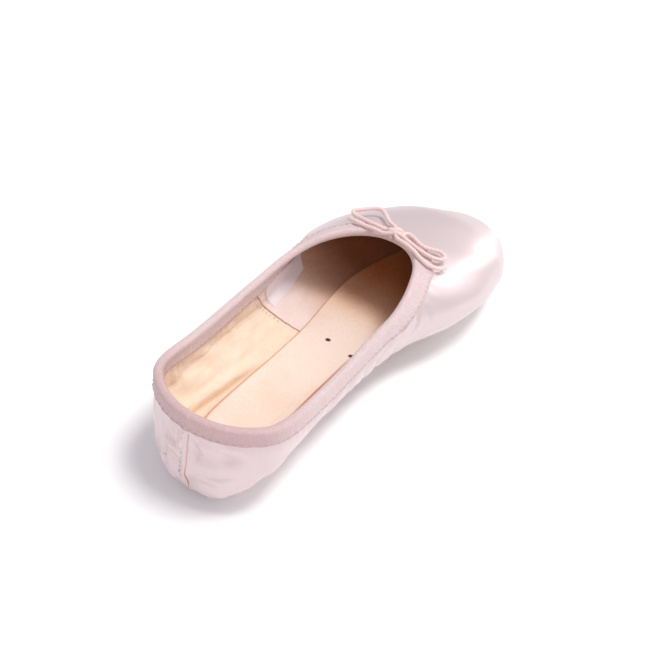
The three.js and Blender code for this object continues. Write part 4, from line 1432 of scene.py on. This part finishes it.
insole_mesh = grid_mesh("felted_insole", insole_grid, around=True)
top_rows = top_sheet.shape[1]
rim_values = np.zeros(insole_grid.shape[:2], dtype=np.float32)
rim_values[:, top_rows - len(RIM_DARKNESS) : top_rows] = RIM_DARKNESS
rim_values[:, top_rows:] = 1.0
insole_mesh.attributes.new("rim", "FLOAT", "POINT").data.foreach_set("value", rim_values.ravel())
link("felted_insole", insole_mesh, board, ["insole"])
print("insole faces", len(insole_mesh.polygons))

# %% [markdown]
# ## Sole leather
# The outsole is suede, buffed and slightly mottled. Its nap is fine noise, and the mottle is coarse noise.

# %% Suede
suede, tree, shader = start_material("sole_leather", Sheen_Weight=0.1, Specular_IOR_Level=0.3)
spot = places(tree)[0]
nap = noise(tree, spot, 2.2, detail=5)
mottle = noise(tree, spot, 0.06, detail=4)
colour = blend_node(tree, nap, srgb(196, 164, 134), srgb(226, 200, 174))
colour = tinted(tree, colour, mottle, 0.45, (188, 152, 120))
dress(tree, shader, colour, nap, -1.6, 1.4)
add_bump(tree, shader, nap, 0.5, 0.0003)
print("suede nodes", len(tree.nodes))

# %% [markdown]
# ## The outsole
# One piece of leather runs from heel to toe, with a slightly rounded lower edge. Its top follows the
# gathered cloth at a small gap, and its bottom is the floor's plane except at the arch and the toe.

# %% The leather sheet
LOWER_EDGE = [0.35, 0.12, 0.02, 0, 0]

outsole_plan = plan_rings(OUTSOLE, outsole_half)
outsole_places = underside_points(outsole_plan[..., 0], outsole_plan[..., 1])
outsole_top = outsole_places[..., 2] - SHEET_CLEARANCE / np.abs(outward(outsole_places)[..., 2])
outsole_low = underside(outsole_plan[..., 0]) - SHEET_CLEARANCE - SOLE_THICKNESS
outsole_bottom = outsole_low + np.array(LOWER_EDGE + [0.0] * SPOKES)
upper_side = to_shoe(np.stack([outsole_plan[..., 0], outsole_plan[..., 1], outsole_top], axis=-1))
lower_side = to_shoe(np.stack([outsole_plan[..., 0], outsole_plan[..., 1], outsole_bottom], axis=-1))
outsole_grid = np.concatenate([upper_side[:, ::-1], lower_side], axis=1)
outsole_mesh = grid_mesh("leather_outsole", outsole_grid, around=True)
link("leather_outsole", outsole_mesh, suede, ["outsole"])
print("outsole faces", len(outsole_mesh.polygons))

# %% [markdown]
# ## The drawstring's way
# Two cords leave the binding side by side at the throat and are tied in a bow. Each makes a loop on one
# side and a loose end on the other, and a short piece crosses over them as the knot. A limp cord lies
# where it was put, so its points are listed, as in the part's source.

# %% Points of loops, ends and knot
LEFT_LOOP = [
    (42.4, 2.4, 48.8), (46.8, 8.6, 48.1), (52.4, 14, 47.2), (54.8, 17.6, 46.8), (53.6, 21.2, 46.4),
    (49.8, 25, 45.8), (46.4, 28.2, 45.1), (44.2, 26.6, 45.1), (42.6, 22, 45.9), (40.8, 16, 47),
    (39.6, 10, 48), (38.9, 5.6, 48.5),
]
LEFT_END = [(35.6, 5.2, 48.5), (35.9, 10, 48.2), (36.2, 16, 47.4), (37.4, 21.4, 46.5), (39.4, 26.2, 45.2)]
RIGHT_LOOP = [
    (43.6, -3.4, 48.2), (43.4, -7, 47.9), (41.8, -11, 47.4), (41.4, -14, 47), (43, -17.4, 46.4),
    (45.2, -21, 45.6), (44.6, -23.8, 45), (41.4, -24.6, 45), (38.4, -21.8, 45.8), (37.2, -17.4, 46.7),
    (37.6, -12, 47.5), (38.8, -6, 48.1),
]
RIGHT_END = [
    (36.2, -2.2, 48.7), (35.4, -7, 48.4), (33.8, -12.6, 47.9), (31.8, -17.8, 47), (31.6, -22.4, 45.8),
    (34.6, -26.4, 44.4), (39.4, -28, 43.4),
]
LEFT_EXIT = [(35.4, 1.6, 47.6), (37.6, 1.7, 48.3)]
RIGHT_EXIT = [(35.4, -1.6, 47.6), (38.4, -2.0, 48.2)]
first_route = LEFT_EXIT + LEFT_LOOP + [(38.0, 2.2, 50.6)] + RIGHT_END
second_route = RIGHT_EXIT + RIGHT_LOOP + [(37.6, -1.2, 50.4)] + LEFT_END
KNOT = [(39.4, 3.4, 47.9), (37.3, 2.6, 49.6), (38.2, 0.6, 51.0), (40.4, -0.6, 50.2), (41.2, -2.0, 48.2)]
print("points of the cords", len(first_route), len(second_route))

# %% [markdown]
# ## Cord
# The cord is soft twisted cotton. Its three strands are real shape, and the material only adds the fuzz
# between its lighter and darker fibres.

# %% Cotton of the cord
braid, tree, shader = start_material(
    "braided_cord", Sheen_Weight=0.4, Sheen_Roughness=0.5, Specular_IOR_Level=0.3,
)
fuzz = noise(tree, places(tree)[0], 3.0, detail=3)
dress(tree, shader, blend_node(tree, fuzz, srgb(233, 201, 196), srgb(250, 230, 226)), fuzz, -1.8, 1.4)
add_bump(tree, shader, fuzz, 0.5, 0.0003)
print("cord nodes", len(tree.nodes))

# %% [markdown]
# ## The bow
# Each cord is one tube along its whole way, through its loop, under the knot and out to its end. The knot
# is a thicker turn of the same cord laid over both.

# %% Two cords and their knot
KNOT_RADIUS = 1.3
CORD_SIDES = 14
STRANDS = 3

knot_tube = tube_grid(rounded_path(KNOT, 0.3), KNOT_RADIUS, CORD_SIDES, STRANDS)
knot_mesh = grid_mesh("bow_knot", knot_tube, rows_closed=True)
knot = link("bow_knot", knot_mesh, braid, ["drawstring_knot"])
for name, route, nodes, extra in (
    ("drawstring_first", first_route, ["drawstring_loop_left", "drawstring_end_right"], [knot]),
    ("drawstring_second", second_route, ["drawstring_loop_right", "drawstring_end_left"], []),
):
    path = rounded_path(route, 0.35)
    tube = tube_grid(path, 0.5 * CORD_DIAMETER, CORD_SIDES, STRANDS)
    mesh = grid_mesh(name, tube, rows_closed=True)
    cord = link(name, mesh, braid, nodes)
    total = np.linalg.norm(np.diff(path, axis=0), axis=1).sum() / 1000
    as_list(extra)
    print(name, "length", round(total, 4))

# %% [markdown]
# ## Floor
# The shoe stands on white paper that runs on past the picture. One large plane with a plain matt shader
# is enough, because the light on it is even.

# %% White floor
FLOOR_REACH = 6
FLOOR_WHITE = 0.99

floor_mesh = bpy.data.meshes.new("floor")
corners = [(-1, -1), (1, -1), (1, 1), (-1, 1)]
floor_mesh.from_pydata([(FLOOR_REACH * x, FLOOR_REACH * y, 0) for x, y in corners], [], [(0, 1, 2, 3)])
floor_paint, tree, shader = start_material("floor", Roughness=0.9, Specular_IOR_Level=0.1)
shader.inputs["Base Color"].default_value = (FLOOR_WHITE, FLOOR_WHITE, FLOOR_WHITE, 1)
floor_mesh.materials.append(floor_paint)
floor = bpy.data.objects.new("floor", floor_mesh)
bpy.context.scene.collection.objects.link(floor)
print("floor", floor.name)

# %% [markdown]
# ## Lamps
# The photo was taken under soft light from overhead and from all round. A warm lamp overhead makes the
# soft shadow, another fills in from behind the heel, and two narrow strips ahead of the toe draw the long
# highlight in the satin. Each lamp stands in a direction from the shoe and faces it.

# %% Four soft lamps
WARM_WHITE = (1, 0.98, 0.95)


def area_light(name, way, distance, size, watts, side=(0, 1, 0), colour=(1, 1, 1)):
    """A rectangular lamp whose width runs along the given side, squared off against its direction."""
    data = bpy.data.lights.new(name, "AREA")
    data.shape = "RECTANGLE"
    data.size, data.size_y = size
    data.energy = watts
    data.color = colour
    lamp = bpy.data.objects.new(name, data)
    way = np.array(way, dtype=float)
    way /= np.linalg.norm(way)
    side = np.array(side) - way * (way @ side)
    side /= np.linalg.norm(side)
    columns = np.column_stack([side, np.cross(way, side), way, way * distance])
    lamp.matrix_world = Matrix(columns.tolist() + [[0, 0, 0, 1]])
    bpy.context.scene.collection.objects.link(lamp)


# Name, direction from the shoe, distance and size in metres, watts
area_light("strip_ahead", (0.93, -0.2, 0.3), 1.3, (0.76, 0.2), 2.4, side=(0.3, 0.3, -0.88))
area_light("strip_right", (0.64, -0.5, 0.58), 1.3, (0.7, 0.08), 1.0, side=(0.25, 0.52, 0.2))
area_light("key_right", (0.13, -0.2, 0.97), 2.6, (0.8, 0.8), 40, colour=WARM_WHITE)
area_light("fill_behind", (-0.78, -0.35, 0.52), 2.6, (0.5, 0.5), 8.5, colour=WARM_WHITE)
print("lamps", len(bpy.data.lights))

# %% [markdown]
# ## Surroundings
# The rest of the room is an even pale lilac, which the satin mirrors. A dark card ahead of the toe and to
# its left draws the dark side of the highlight: a soft patch in the sky, by the dot product with its way.

# %% World and view
CARD_WAY = (0.88, 0.38, 0.28)
CARD_DARKNESS = 0.3
SKY_COLOUR = (0.93, 0.915, 1, 1)
SKY_STRENGTH = 0.52

world = bpy.data.worlds.new("studio")
world.use_nodes = True
tree = world.node_tree
sky = wire(tree, "ShaderNodeTexCoord").outputs["Generated"]
towards = wire(tree, "ShaderNodeVectorMath", {0: sky, 1: CARD_WAY}, operation="DOT_PRODUCT")
card = step_node(tree, towards.outputs["Value"], 0.82, 0.97)
brightness = math_node(tree, "SUBTRACT", 1.0, math_node(tree, "MULTIPLY", card, CARD_DARKNESS))
background = tree.nodes["Background"]
tree.links.new(blend_node(tree, brightness, (0, 0, 0, 1), SKY_COLOUR), background.inputs["Color"])
background.inputs["Strength"].default_value = SKY_STRENGTH
bpy.context.scene.world = world
bpy.context.scene.view_settings.view_transform = "Standard"
bpy.context.scene.view_settings.look = "None"
print("world", world.name)
